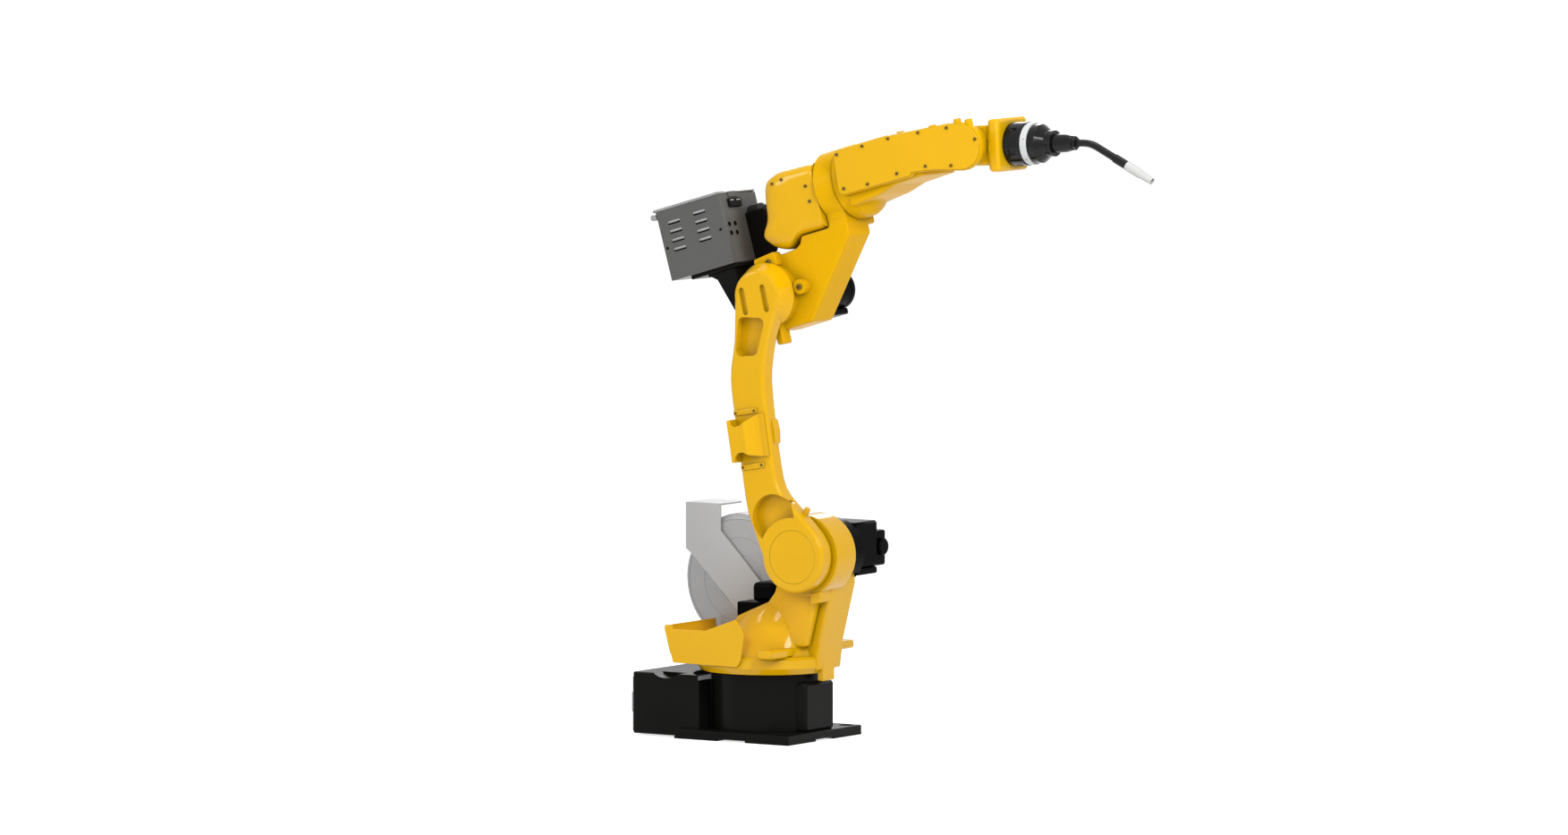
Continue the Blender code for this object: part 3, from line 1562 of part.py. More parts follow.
def forearm_outline(grow):
    """The side view of the forearm's near arm, in its own frame."""
    end = arc((FOREARM_LENGTH, 0), FOREARM_END_RADIUS - 2 * MM + grow, -100, 88, 14)
    back = FOREARM_BACK + 30 * MM - grow
    rear = rounded(
        [
            (FOREARM_LENGTH - 180 * MM, 70 * MM + grow),
            (back, 70 * MM + grow),
            (back - 10 * MM, -30 * MM - grow),
            (FOREARM_LENGTH - 130 * MM, -31 * MM - grow),
        ],
        14 * MM,
    )
    return (
        end
        + [(FOREARM_LENGTH - 27 * MM, 56.5 * MM + grow)]
        + rear[2:-2]
        + [(FOREARM_LENGTH - 90 * MM, -31.5 * MM - grow)]
    )


def make_forearm(forearm):
    back = FOREARM_BACK
    casting = turned(
        "forearm_casting",
        forearm,
        [
            (0.0, 84 * MM),
            (52 * MM, 84 * MM),
            (60 * MM, 62 * MM),
            (80 * MM, 44 * MM),
            (FOREARM_RING_RADIUS, 34 * MM),
            (FOREARM_RING_RADIUS, 3 * MM),
            (FOREARM_RING_RADIUS - 3 * MM, 0.0),
            (0.0, 0.0),
        ],
        (back, 0, 0),
        (1, 0, 0),
    )
    body = slab(
        "body",
        forearm,
        rounded(
            [
                (back + 28 * MM, 66 * MM),
                (back + 28 * MM, -60 * MM),
                (back + 108 * MM, -52 * MM),
                (back + 158 * MM, -40 * MM),
                (FOREARM_BODY_END, -37 * MM),
                (FOREARM_BODY_END, 56 * MM),
                (FOREARM_BODY_END - 58 * MM, 66 * MM),
            ],
            8 * MM,
        ),
        FOREARM_SIDE_INNER - MM,
        64 * MM,
        rim=8 * MM,
    )
    near_arm = slab(
        "near_arm", forearm, forearm_outline(3 * MM), FOREARM_NEAR, FOREARM_SIDE_INNER, rim=4 * MM
    )
    bosses = []
    for x, y, height in (
        (FOREARM_LENGTH - 169 * MM, -60 * MM, 75 * MM),
        (FOREARM_LENGTH - 65 * MM, -86 * MM, 65 * MM),
        (FOREARM_LENGTH + 3 * MM, -86 * MM, 63 * MM),
        (FOREARM_LENGTH + 32 * MM, -86 * MM, 55 * MM),
    ):
        bosses.append(bar("boss", forearm, (x, y, 30 * MM), (x, y, height), 8.5 * MM, sides=16))
    unite(casting, body, near_arm, *bosses)
    hub_bore = bar(
        "hub_bore",
        forearm,
        (FOREARM_LENGTH, FOREARM_SIDE_INNER - 10 * MM, 0),
        (FOREARM_LENGTH, FOREARM_SIDE_INNER + MM, 0),
        36 * MM + PLAY,
    )
    cut(casting, hub_bore)
    finish(casting, YELLOW)

    plate = slab(
        "forearm_cover_near",
        forearm,
        forearm_outline(0.0),
        FOREARM_NEAR - PLATE_THICKNESS,
        FOREARM_NEAR - GAP,
        rim=0.8 * MM,
        segments=1,
    )
    finish(plate, YELLOW)
    far_plate = slab(
        "forearm_cover_far",
        forearm,
        rounded(
            [
                (back + 86 * MM, 52 * MM),
                (back + 86 * MM, -42 * MM),
                (FOREARM_BODY_END - 12 * MM, -28 * MM),
                (FOREARM_BODY_END - 12 * MM, 46 * MM),
            ],
            10 * MM,
        ),
        64 * MM + GAP,
        64 * MM + PLATE_THICKNESS,
        rim=0.8 * MM,
        segments=1,
    )
    finish(far_plate, YELLOW)


# Wrist

def make_wrist(wrist):
    height = WRIST_HALF_HEIGHT
    head = WRIST_FACE - 30 * MM
    neck_height = height - 14 * MM
    casting = slab(
        "wrist_casting",
        wrist,
        rounded(
            [(WRIST_FACE, height), (head, height), (head - 4 * MM, 0), (head, -height), (WRIST_FACE, -height)],
            9 * MM,
            steps=3,
        ),
        -WRIST_HALF_WIDTH,
        WRIST_HALF_WIDTH,
        rim=8 * MM,
    )
    neck = slab(
        "neck",
        wrist,
        rounded(
            [
                (head + 12 * MM, neck_height),
                (-8 * MM, neck_height),
                (-8 * MM, -neck_height),
                (head + 12 * MM, -neck_height),
            ],
            8 * MM,
            steps=3,
        ),
        -WRIST_HALF_WIDTH + 8 * MM,
        WRIST_HALF_WIDTH - 8 * MM,
        rim=8 * MM,
    )
    hub = bar("hub", wrist, (0, FOREARM_SIDE_INNER + 2 * MM, 0), (0, 50 * MM, 0), 47 * MM, rim=3 * MM)
    pivot = bar("pivot", wrist, (0, FOREARM_SIDE_INNER - 9 * MM, 0), (0, FOREARM_SIDE_INNER + 6 * MM, 0), 36 * MM)
    unite(casting, neck, hub, pivot)
    finish(casting, YELLOW)


# Torch

def make_tool(tool):
    face = WRIST_FACE + GAP
    flange = turned(
        "tool_flange",
        tool,
        [
            (0.0, TOOL_FLANGE_LENGTH),
            (TOOL_FLANGE_RADIUS - 3 * MM, TOOL_FLANGE_LENGTH),
            (TOOL_FLANGE_RADIUS, TOOL_FLANGE_LENGTH - 2 * MM),
            (TOOL_FLANGE_RADIUS, 2 * MM),
            (TOOL_FLANGE_RADIUS - 2 * MM, 0.0),
            (0.0, 0.0),
        ],
        (face, 0, 0),
        (1, 0, 0),
    )
    notches = []
    for k in range(6):
        angle = math.radians(60 * k + 20)
        centre = Vector((face + 22 * MM, TOOL_FLANGE_RADIUS * math.cos(angle), TOOL_FLANGE_RADIUS * math.sin(angle)))
        notch = block("notch", tool, (-9 * MM, -7 * MM, -5 * MM), (9 * MM, 7 * MM, 5 * MM), rim=1.5 * MM, segments=1)
        notch.location = centre
        notch.rotation_euler = (angle - math.pi / 2, 0, 0)
        notches.append(notch)
    cut(flange, *notches)
    finish(flange, MOTOR_BLACK)

    at = WRIST_FACE + GAP + TOOL_FLANGE_LENGTH
    pieces = [
        ("mount_ring", WHITE, 16 * MM, [(47, 0), (48, 2), (48, 14), (47, 16)], 48),
        ("torch_mount", MOTOR_BLACK, 42 * MM, [(44, 0), (44, 18), (30, 36), (30, 42)], 48),
        ("retaining_ring", MOTOR_BLACK, 10 * MM, [(29, 0), (30, 1.5), (30, 8.5), (29, 10)], 40),
        ("torch_body", MOTOR_BLACK, 47 * MM, [(21.5, 0), (20.5, 30), (16, 47)], 32),
        ("neck_nut", MOTOR_BLACK, 9 * MM, [(16, 0), (16, 7), (14, 9)], 6),
    ]
    for name, spec, length, sides_of, count in pieces:
        profile = [(0.0, length)]
        profile += [(radius * MM, height * MM) for radius, height in reversed(sides_of)]
        profile += [(0.0, 0.0)]
        at += GAP
        piece = turned(name, tool, profile, (at, 0, 0), (1, 0, 0), sides=count)
        finish(piece, spec)
        at += length
    make_neck(tool, at + GAP)


def neck_frame(start):
    """The end of the neck's bend and the direction beyond it, in the torch's frame."""
    straight = 14 * MM
    bend_x = start + straight
    end = Vector((
        bend_x + NECK_BEND_RADIUS * math.sin(NECK_BEND), 0, -NECK_BEND_RADIUS * (1 - math.cos(NECK_BEND))
    ))
    return bend_x, end, Vector((math.cos(NECK_BEND), 0, -math.sin(NECK_BEND)))


def make_neck(tool, start):
    bend_x, bend_end, direction = neck_frame(start)
    points = [(start, 0, 0)]
    for k in range(9):
        angle = NECK_BEND * k / 8
        points.append((
            bend_x + NECK_BEND_RADIUS * math.sin(angle), 0, -NECK_BEND_RADIUS * (1 - math.cos(angle))
        ))
    tube_end = bend_end + direction * 51 * MM
    points.append(tuple(tube_end))
    neck = pipe("torch_neck", tool, points, NECK_RADIUS)
    finish(neck, MOTOR_BLACK)

    at = tube_end + direction * GAP
    sleeve = 36 * MM
    collar = turned(
        "gas_diffuser",
        tool,
        [
            (0.0, sleeve + 10 * MM),
            (6 * MM, sleeve + 10 * MM),
            (6 * MM, sleeve),
            (10.2 * MM, sleeve),
            (10.2 * MM, 1 * MM),
            (9 * MM, 0.0),
            (0.0, 0.0),
        ],
        at,
        direction,
        sides=28,
    )
    finish(collar, MOTOR_BLACK)
    nozzle_start = at + direction * (sleeve + GAP)
    nozzle = turned(
        "gas_nozzle",
        tool,
        [
            (8 * MM, 74 * MM),
            (9.8 * MM, 42 * MM),
            (11.2 * MM, 38 * MM),
            (11.2 * MM, 0.0),
            (8.8 * MM, 0.0),
            (8.8 * MM, 36 * MM),
            (6.4 * MM, 74 * MM),
        ],
        nozzle_start,
        direction,
        sides=32,
    )
    finish(nozzle, WHITE)
    tip_start = at + direction * (sleeve + 10 * MM + GAP)
    tip = turned(
        "contact_tip",
        tool,
        [(0.0, 58 * MM), (2.6 * MM, 58 * MM), (4 * MM, 48 * MM), (4 * MM, 0.0), (0.0, 0.0)],
        tip_start,
        direction,
        sides=20,
    )
    finish(tip, COPPER)


# Assembly

def build():
    clear_scene()
    root = empty("floor_origin", None, (0, 0, 0))
    waist = empty("j1_axis", root, (0, 0, 0))
    arm = empty("j2_axis", waist, (SHOULDER_REACH, 0, SHOULDER_HEIGHT), LOWER_ARM_LEAN)
    elbow = empty("j3_axis", arm, (0, 0, LOWER_ARM_LENGTH), FOREARM_PITCH - LOWER_ARM_LEAN)
    forearm = empty("j4_axis", elbow, (0, 0, ELBOW_OFFSET))
    wrist = empty("j5_axis", forearm, (FOREARM_LENGTH, 0, 0), TORCH_PITCH - FOREARM_PITCH)
    tool = empty("j6_axis", wrist, (0, 0, 0))
    spool = empty("spool_axis", waist, (SPOOL_X, SPOOL_NEAR, SPOOL_Z))
    roll = empty("drive_roll_axis", elbow, (ROLL_X, WIRE_Y, ELBOW_OFFSET - ROLL_RADIUS))
    pivot = empty("pressure_arm_axis", elbow, (ROLL_X - 44 * MM, WIRE_Y, ELBOW_OFFSET + ROLL_RADIUS))
    pressure = empty("pressure_roll_axis", pivot, (44 * MM, 0, 0))
    lid = empty("lid_axis", elbow, (LID_AXIS_X, 0, LID_AXIS_Z))
    make_base(root)
    make_waist(waist)
    make_waist_motors(waist)
    make_tray(waist)
    make_spool_mount(waist)
    make_spool(spool)
    make_lower_arm(arm)
    make_elbow(elbow)
    make_feeder(elbow)
    make_feed_rolls(roll, pivot, pressure)
    make_feeder_lid(lid)
    make_forearm(forearm)
    make_wrist(wrist)
    make_tool(tool)


build()
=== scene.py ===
# Arc welding robot: the enamel, castings' edges, motors, feeder and torch fittings over the fixed frame.

import math

import bmesh
import bpy
import numpy as np
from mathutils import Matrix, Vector
from mathutils.bvhtree import BVHTree


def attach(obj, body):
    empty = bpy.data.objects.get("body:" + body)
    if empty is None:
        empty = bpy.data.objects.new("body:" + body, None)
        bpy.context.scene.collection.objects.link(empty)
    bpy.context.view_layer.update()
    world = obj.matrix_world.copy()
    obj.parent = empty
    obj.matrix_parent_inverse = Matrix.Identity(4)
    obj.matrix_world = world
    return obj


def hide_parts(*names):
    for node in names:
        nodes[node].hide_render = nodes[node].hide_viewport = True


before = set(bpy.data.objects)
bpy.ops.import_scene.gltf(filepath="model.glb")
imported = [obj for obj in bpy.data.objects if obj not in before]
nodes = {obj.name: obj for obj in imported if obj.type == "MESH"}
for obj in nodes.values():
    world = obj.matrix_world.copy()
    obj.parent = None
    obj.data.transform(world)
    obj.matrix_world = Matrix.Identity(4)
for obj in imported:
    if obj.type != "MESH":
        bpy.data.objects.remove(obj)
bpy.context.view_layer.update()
MM = 0.001


# Camera, at the photograph's angle

CAMERA_AZIMUTH = math.radians(33.0)
CAMERA_ELEVATION = math.radians(4.6)
CAMERA_AIM = Vector((0.044, 0.0, 0.7363))
LENS = 300.0
SENSOR_WIDTH = 36.0
FARTHEST_SEEN = 200.0
PHOTO_WIDTH = 1753
PIXELS_PER_METRE = 487.8


def place_camera():
    """The long lens stands where the frame's width at the robot is the photograph's width."""
    data = bpy.data.cameras.new("camera")
    data.lens = LENS
    data.sensor_width = SENSOR_WIDTH
    data.clip_end = FARTHEST_SEEN
    back = Vector((
        math.sin(CAMERA_AZIMUTH) * math.cos(CAMERA_ELEVATION),
        -math.cos(CAMERA_AZIMUTH) * math.cos(CAMERA_ELEVATION),
        math.sin(CAMERA_ELEVATION),
    ))
    camera = bpy.data.objects.new("camera", data)
    bpy.context.scene.collection.objects.link(camera)
    frame_width = PHOTO_WIDTH / PIXELS_PER_METRE
    camera.location = CAMERA_AIM + back * (frame_width * LENS / SENSOR_WIDTH)
    camera.rotation_mode = "QUATERNION"
    camera.rotation_quaternion = (-back).to_track_quat("-Z", "Y")
    bpy.context.scene.camera = camera


place_camera()


# Light and floor

ROOM_LEVEL = 0.36
FLOOR_COLOUR = 0.85
FLOOR_GLOW = 0.72
FLOOR_RADIUS = 70
FLOOR_SIDES = 64
FLOOR_DROP = 0.0005
SOFTBOXES = (
    # name, where it hangs, where it looks, width, height, watts
    ("key", (2.9, -1.5, 2.6), (0.2, 0, 0.8), 0.7, 1.4, 60),
    ("side", (1.0, -3.8, 2.0), (0.2, 0, 0.8), 0.7, 1.4, 28),
    ("fill", (-2.6, -3.0, 2.2), (0.1, 0, 0.8), 0.7, 1.5, 26),
    ("top", (0.5, 0.0, 4.0), (0.2, 0, 0.6), 1.3, 0.6, 28),
    ("rear", (-1.8, 3.4, 2.6), (0.1, 0, 0.8), 1.4, 1.8, 40),
)


def seen_directly(tree):
    """1 for what the lens, a mirror or glass sees, and 0 for what only lights the robot."""
    path = tree.nodes.new("ShaderNodeLightPath")
    seen = path.outputs["Is Camera Ray"]
    for ray in ("Is Glossy Ray", "Is Transmission Ray"):
        either = tree.nodes.new("ShaderNodeMath")
        either.operation = "MAXIMUM"
        tree.links.new(seen, either.inputs[0])
        tree.links.new(path.outputs[ray], either.inputs[1])
        seen = either.outputs["Value"]
    return seen


def light_world():
    """An even pale room that the lens sees white."""
    world = bpy.data.worlds.new("studio")
    bpy.context.scene.world = world
    world.use_nodes = True
    tree = world.node_tree
    back = tree.nodes["Background"]
    back.inputs["Color"].default_value = (1, 1, 1, 1)
    level = tree.nodes.new("ShaderNodeMix")
    level.inputs["A"].default_value = ROOM_LEVEL
    level.inputs["B"].default_value = 1.0
    tree.links.new(seen_directly(tree), level.inputs["Factor"])
    tree.links.new(level.outputs["Result"], back.inputs["Strength"])


def softbox(name, at, aim, width, height, watts):
    """A rectangular lamp that looks at a point."""
    data = bpy.data.lights.new(name, "AREA")
    data.shape = "RECTANGLE"
    data.size = width
    data.size_y = height
    data.energy = watts
    lamp = bpy.data.objects.new(name, data)
    bpy.context.scene.collection.objects.link(lamp)
    lamp.location = at
    lamp.rotation_mode = "QUATERNION"
    lamp.rotation_quaternion = (Vector(aim) - Vector(at)).to_track_quat("-Z", "Y")


def lay_floor():
    """A flat pale floor that runs past the picture on every side. It glows white to the lens alone."""
    mesh = bpy.data.meshes.new("floor")
    turn = np.linspace(0, 2 * np.pi, FLOOR_SIDES + 1)[:-1]
    rim = FLOOR_RADIUS * np.stack([np.cos(turn), np.sin(turn), np.zeros(FLOOR_SIDES)], axis=1)
    mesh.from_pydata(rim.tolist(), [], [list(range(FLOOR_SIDES))])
    floor = bpy.data.objects.new("floor", mesh)
    bpy.context.scene.collection.objects.link(floor)
    floor.location = (0, 0, -FLOOR_DROP)
    paint = bpy.data.materials.new("pale_floor")
    paint.use_nodes = True
    tree = paint.node_tree
    shader = tree.nodes["Principled BSDF"]
    shader.inputs["Base Color"].default_value = (FLOOR_COLOUR, FLOOR_COLOUR, FLOOR_COLOUR, 1)
    shader.inputs["Roughness"].default_value = 0.8
    shader.inputs["Specular IOR Level"].default_value = 0.0
    shader.inputs["Emission Color"].default_value = (1, 1, 1, 1)
    glow = tree.nodes.new("ShaderNodeMath")
    glow.operation = "MULTIPLY"
    glow.inputs[1].default_value = FLOOR_GLOW
    tree.links.new(seen_directly(tree), glow.inputs[0])
    tree.links.new(glow.outputs["Value"], shader.inputs["Emission Strength"])
    mesh.materials.append(paint)


light_world()
for lamp in SOFTBOXES:
    softbox(*lamp)
lay_floor()
bpy.context.scene.view_settings.view_transform = "Standard"


# Finishes

CLOUDS_PER_METRE = 7.0
PATCHES_PER_METRE = 38.0
LATHE_MARKS_PER_METRE = 60.0
ROUGHNESS_SPREAD = 0.07
PEEL_DEPTH = 0.002
# How far ambient occlusion looks for the inner corners that get painted shade
RECESS_SHADE_REACH = 0.04


def finish(
    name, colour, roughness, metallic=0.0, specular=0.25, mottle=0.04, grain=900.0, peel=0.02, edge=0.0,
    round_edge=1.2, turned=None, alpha=1.0, recess_shade=None,
):
    """A painted, moulded or machined surface.

    A large soft noise shifts the colour by mottle, a middle one shifts the roughness, and a fine one of
    grain per metre raises the surface by peel. Edges look round by round_edge mm, and edge mixes a lighter
    colour into them as painted highlight. turned is how much each axis is stretched for lathe marks, which
    are fine rings in the roughness. recess is a darker colour mixed into inner corners, found by ambient
    occlusion, as painted shade.
    """
    made = bpy.data.materials.new(name)
    made.use_nodes = True
    tree = made.node_tree
    shader = tree.nodes["Principled BSDF"]
    shader.inputs["Metallic"].default_value = metallic
    shader.inputs["Specular IOR Level"].default_value = specular
    shader.inputs["Alpha"].default_value = alpha
    where = tree.nodes.new("ShaderNodeTexCoord")

    def noise(scale, detail, stretch=None):
        node = tree.nodes.new("ShaderNodeTexNoise")
        node.inputs["Scale"].default_value = scale
        node.inputs["Detail"].default_value = detail
        source = where.outputs["Object"]
        if stretch:
            mapping = tree.nodes.new("ShaderNodeMapping")
            mapping.inputs["Scale"].default_value = stretch
            tree.links.new(source, mapping.inputs["Vector"])
            source = mapping.outputs["Vector"]
        tree.links.new(source, node.inputs["Vector"])
        return node.outputs["Fac"]

    def ranged(value, low, high, start=0.3, end=0.7):
        node = tree.nodes.new("ShaderNodeMapRange")
        node.inputs["From Min"].default_value = start
        node.inputs["From Max"].default_value = end
        node.inputs["To Min"].default_value = low
        node.inputs["To Max"].default_value = high
        tree.links.new(value, node.inputs["Value"])
        return node.outputs["Result"]

    def mixed(factor, first, second):
        node = tree.nodes.new("ShaderNodeMix")
        node.data_type = "RGBA"
        tree.links.new(factor, node.inputs["Factor"])
        for socket, value in (("A", first), ("B", second)):
            if isinstance(value, tuple):
                node.inputs[socket].default_value = (*value, 1)
            else:
                tree.links.new(value, node.inputs[socket])
        return node.outputs["Result"]

    darker = tuple(c * (1 - mottle) for c in colour)
    lighter = tuple(min(1.0, c * (1 + mottle)) for c in colour)
    base = mixed(ranged(noise(CLOUDS_PER_METRE, 3.0), 0.0, 1.0), darker, lighter)
    rounding = tree.nodes.new("ShaderNodeBevel")
    rounding.samples = 4
    rounding.inputs["Radius"].default_value = round_edge * MM
    # Painted highlight: where the rounded normal turns away from the true one, at edges, the colour is
    # mixed towards a lighter one.
    if edge > 0:
        surface = tree.nodes.new("ShaderNodeNewGeometry")
        turn = tree.nodes.new("ShaderNodeVectorMath")
        turn.operation = "DOT_PRODUCT"
        tree.links.new(rounding.outputs["Normal"], turn.inputs[0])
        tree.links.new(surface.outputs["Normal"], turn.inputs[1])
        painted_edge_highlight = ranged(turn.outputs["Value"], edge, 0.0, 0.75, 0.99)
        base = mixed(painted_edge_highlight, base, tuple(min(1.0, c * 0.9 + 0.12) for c in colour))
    # Painted shade: where ambient occlusion finds an inner corner, the colour is mixed towards the darker
    # recess colour.
    if recess_shade:
        shelter = tree.nodes.new("ShaderNodeAmbientOcclusion")
        shelter.samples = 4
        shelter.inputs["Distance"].default_value = RECESS_SHADE_REACH
        base = mixed(ranged(shelter.outputs["AO"], 0.85, 0.0, 0.35, 0.95), base, recess_shade)
    tree.links.new(base, shader.inputs["Base Color"])
    if turned is None:
        rough = noise(PATCHES_PER_METRE, 4.0)
    else:
        rough = noise(LATHE_MARKS_PER_METRE, 3.0, turned)
    low, high = roughness * (1 - ROUGHNESS_SPREAD), roughness * (1 + ROUGHNESS_SPREAD)
    tree.links.new(ranged(rough, low, high), shader.inputs["Roughness"])
    bump = tree.nodes.new("ShaderNodeBump")
    bump.inputs["Strength"].default_value = peel
    bump.inputs["Distance"].default_value = PEEL_DEPTH
    tree.links.new(noise(grain, 2.0), bump.inputs["Height"])
    tree.links.new(rounding.outputs["Normal"], bump.inputs["Normal"])
    tree.links.new(bump.outputs["Normal"], shader.inputs["Normal"])
    return made


# Painted shade: the darker yellow that the enamel's inner corners are painted with.
RECESS_SHADE_YELLOW = (0.44, 0.295, 0.002)
yellow = finish(
    "yellow_enamel", (0.86, 0.474, 0.002), 0.075, specular=0.2, mottle=0.02, grain=420, peel=0.012,
    edge=0.2, round_edge=2.0, recess_shade=RECESS_SHADE_YELLOW,
)
satin_yellow = finish(
    "satin_enamel", (0.85, 0.46, 0.002), 0.34, specular=0.045, mottle=0.02, grain=420, peel=0.02,
    edge=0.2, round_edge=2.0, recess_shade=RECESS_SHADE_YELLOW,
)
base_black = finish(
    "black_enamel", (0.0065, 0.0065, 0.006), 0.32, specular=0.05, mottle=0.15, grain=500, peel=0.05,
    edge=0.06,
)
motor_black = finish(
    "motor_black", (0.0008, 0.0008, 0.0008), 0.3, specular=0.025, mottle=0.2, grain=800, peel=0.04,
)
torch_black = finish(
    "torch_moulding", (0.007, 0.007, 0.0075), 0.12, specular=0.2, mottle=0.12, grain=900, peel=0.01,
)
neck_black = finish(
    "neck_sleeve", (0.01, 0.01, 0.01), 0.34, specular=0.15, mottle=0.15, grain=1500, peel=0.1,
)
steel = finish(
    "machined_steel", (0.6, 0.6, 0.61), 0.32, metallic=1.0, grain=1500, peel=0.03, turned=(1, 30, 1),
)
brass = finish("brass", (0.62, 0.42, 0.16), 0.3, metallic=1.0, grain=1500, peel=0.02)
copper = finish(
    "copper_wire", (0.72, 0.36, 0.2), 0.3, metallic=1.0, grain=1200, peel=0.1, turned=(1, 40, 1),
)
feeder_grey = finish(
    "feeder_grey", (0.122, 0.122, 0.119), 0.3, specular=0.13, mottle=0.03, grain=1400, peel=0.04, edge=0.2,
    round_edge=1.0,
)
# The lid's own grey, also put on the louver lips as painted highlight.
lid_grey_and_lip_highlight = finish(
    "lid_grey_and_lip_highlight", (0.34, 0.34, 0.345), 0.18, specular=0.5, mottle=0.04, grain=1400, peel=0.03, edge=0.3,
    round_edge=1.5,
)
pale_grey = finish(
    "pale_sheet", (0.56, 0.57, 0.58), 0.34, specular=0.25, mottle=0.02, grain=1200, peel=0.02, edge=0.4,
    round_edge=1.0,
)
smoked = finish(
    "spool_cover", (0.5, 0.51, 0.525), 0.2, specular=0.35, mottle=0.02, grain=600, peel=0.01, edge=0.3,
    round_edge=2.0, alpha=0.86,
)
reel_grey = finish("reel_plastic", (0.42, 0.43, 0.44), 0.45, mottle=0.05, grain=900, peel=0.04)
ring_white = finish("white_ring", (0.64, 0.655, 0.66), 0.3, mottle=0.01, grain=900, peel=0.006)
nozzle_white = finish(
    "nozzle", (0.58, 0.58, 0.575), 0.3, specular=0.4, mottle=0.015, grain=900, peel=0.008,
)
rubber = finish("rubber", (0.01, 0.01, 0.01), 0.55, specular=0.2, mottle=0.1, grain=700, peel=0.08)
# Painted shade: screw heads in a darkened yellow-brown, the colour of screw heads in the shade of their
# pockets.
screw_dark = finish(
    "screw_pocket_shade", (0.17, 0.105, 0.012), 0.35, specular=0.3, mottle=0.15, round_edge=0.4,
)
screw_zinc = finish("zinc_screw", (0.5, 0.5, 0.48), 0.35, metallic=1.0, mottle=0.08, round_edge=0.4)
# Painted shade: near-black for the shallow sockets, standing in for the shade inside their holes.
hole_shade_black = finish(
    "painted_hole_shade", (0.002, 0.002, 0.002), 0.7, specular=0.05, mottle=0.2, round_edge=0.4,
)

PAINTS = {
    yellow: (
        "waist_casting cable_tray lower_arm_casting j2_cover_disc cable_hood strap_plate_upper "
        "strap_plate_lower j4_motor_cover forearm_cover_near forearm_cover_far wrist_casting"
    ),
    satin_yellow: "elbow_casting forearm_casting",
    base_black: "base_casting rear_panel feeder_bracket feeder_base_plate spool_spindle",
    motor_black: (
        "j1_motor j1_encoder_cap j2_motor j2_encoder_cap j2_connector_block j3_motor j3_connector_block "
        "feed_motor"
    ),
    torch_black: "tool_flange torch_mount retaining_ring torch_body neck_nut",
    neck_black: "torch_neck gas_diffuser",
    steel: "j1_reducer j2_reducer j3_reducer feed_plate drive_roll pressure_roll",
    brass: "gas_fitting wire_inlet",
    copper: "wire_winding contact_tip",
    feeder_grey: "feeder_box feeder_side_cover pressure_arm",
    lid_grey_and_lip_highlight: "feeder_lid",
    pale_grey: "spool_bracket power_connector signal_connector",
    smoked: "spool_cover_near spool_cover_far",
    reel_grey: "spool_reel",
    ring_white: "mount_ring",
    nozzle_white: "gas_nozzle",
    rubber: "spool_nut gun_connector",
}
SMOOTH_ANGLE = math.radians(36)
WELD_REACH = 0.01 * MM


def dress_frame():
    """Every solid takes the finish listed above, and its round faces are shaded smooth."""
    for paint, names in PAINTS.items():
        for name in names.split():
            solid = nodes[name]
            mesh = solid.data
            mesh.materials.clear()
            mesh.materials.append(paint)
            mesh.shade_smooth()
            weld = solid.modifiers.new("weld", "WELD")
            weld.merge_threshold = WELD_REACH
            split = solid.modifiers.new("sharp_edges", "EDGE_SPLIT")
            split.split_angle = SMOOTH_ANGLE
            split.use_edge_sharp = False
            level = solid.modifiers.new("flat_faces", "WEIGHTED_NORMAL")
            level.weight = 100
            level.keep_sharp = True


dress_frame()


# Side views

# Where each body's axis stands in X and Z, in mm, and how many degrees its +X is turned up
SIDE_VIEWS = {
    "base": (0.0, 0.0, 0.0),
    "waist": (0.0, 0.0, 0.0),
    "lower_arm": (150.0, 430.0, 9.4),
    "elbow": (52.004, 1021.943, 15.9),
    "lid": (52.004, 1021.943, 15.9),
    "forearm": (-2.79, 1214.29, 15.9),
    "wrist": (580.03, 1380.31, 2.5),
    "torch": (580.03, 1380.31, 2.5),
}


def turned_up(body, vectors):
    """Directions in a body's side view: x cos a - z sin a along X, y along Y, x sin a + z cos a along Z."""
    vectors = np.asarray(vectors, float)
    angle = math.radians(SIDE_VIEWS[body][2])
    x, y, z = vectors[..., 0], vectors[..., 1], vectors[..., 2]
    return np.stack([
        x * math.cos(angle) - z * math.sin(angle),
        y,
        x * math.sin(angle) + z * math.cos(angle),
    ], axis=-1)


def placed(body, points):
    """Points in mm in a body's side view, turned up with it, moved to its axis and given in metres."""
    x, z, _ = SIDE_VIEWS[body]
    return (turned_up(body, points) + (x, 0.0, z)) * MM


def seat(carrier, start, heading):
    """Where a line from start along heading meets a solid or a piece, and which way that faces there."""
    mesh = bpy.data.objects[carrier].data
    points = [v.co.copy() for v in mesh.vertices]
    faces = [tuple(p.vertices) for p in mesh.polygons]
    found, facing, _, _ = BVHTree.FromPolygons(points, faces).ray_cast(Vector(start), Vector(heading))
    if found is None:
        raise ValueError(f"nothing of {carrier} lies along {tuple(start)}")
    return np.array(found), np.array(facing)


# Shapes

PAD_DROP = 0.18


def around_circle(count):
    """Angles from 0 up to 2 pi, evenly spaced, without the last."""
    return np.arange(count) * 2 * np.pi / count


def rounded(t, power):
    """(1 - |t|^power)^(1 / power), the height of a rounded square's side at t from -1 to 1."""
    return np.maximum(1 - np.abs(t) ** power, 0.0) ** (1 / power)


def bent(value, power):
    """|value|^power with the sign of value."""
    return np.sign(value) * np.abs(value) ** power


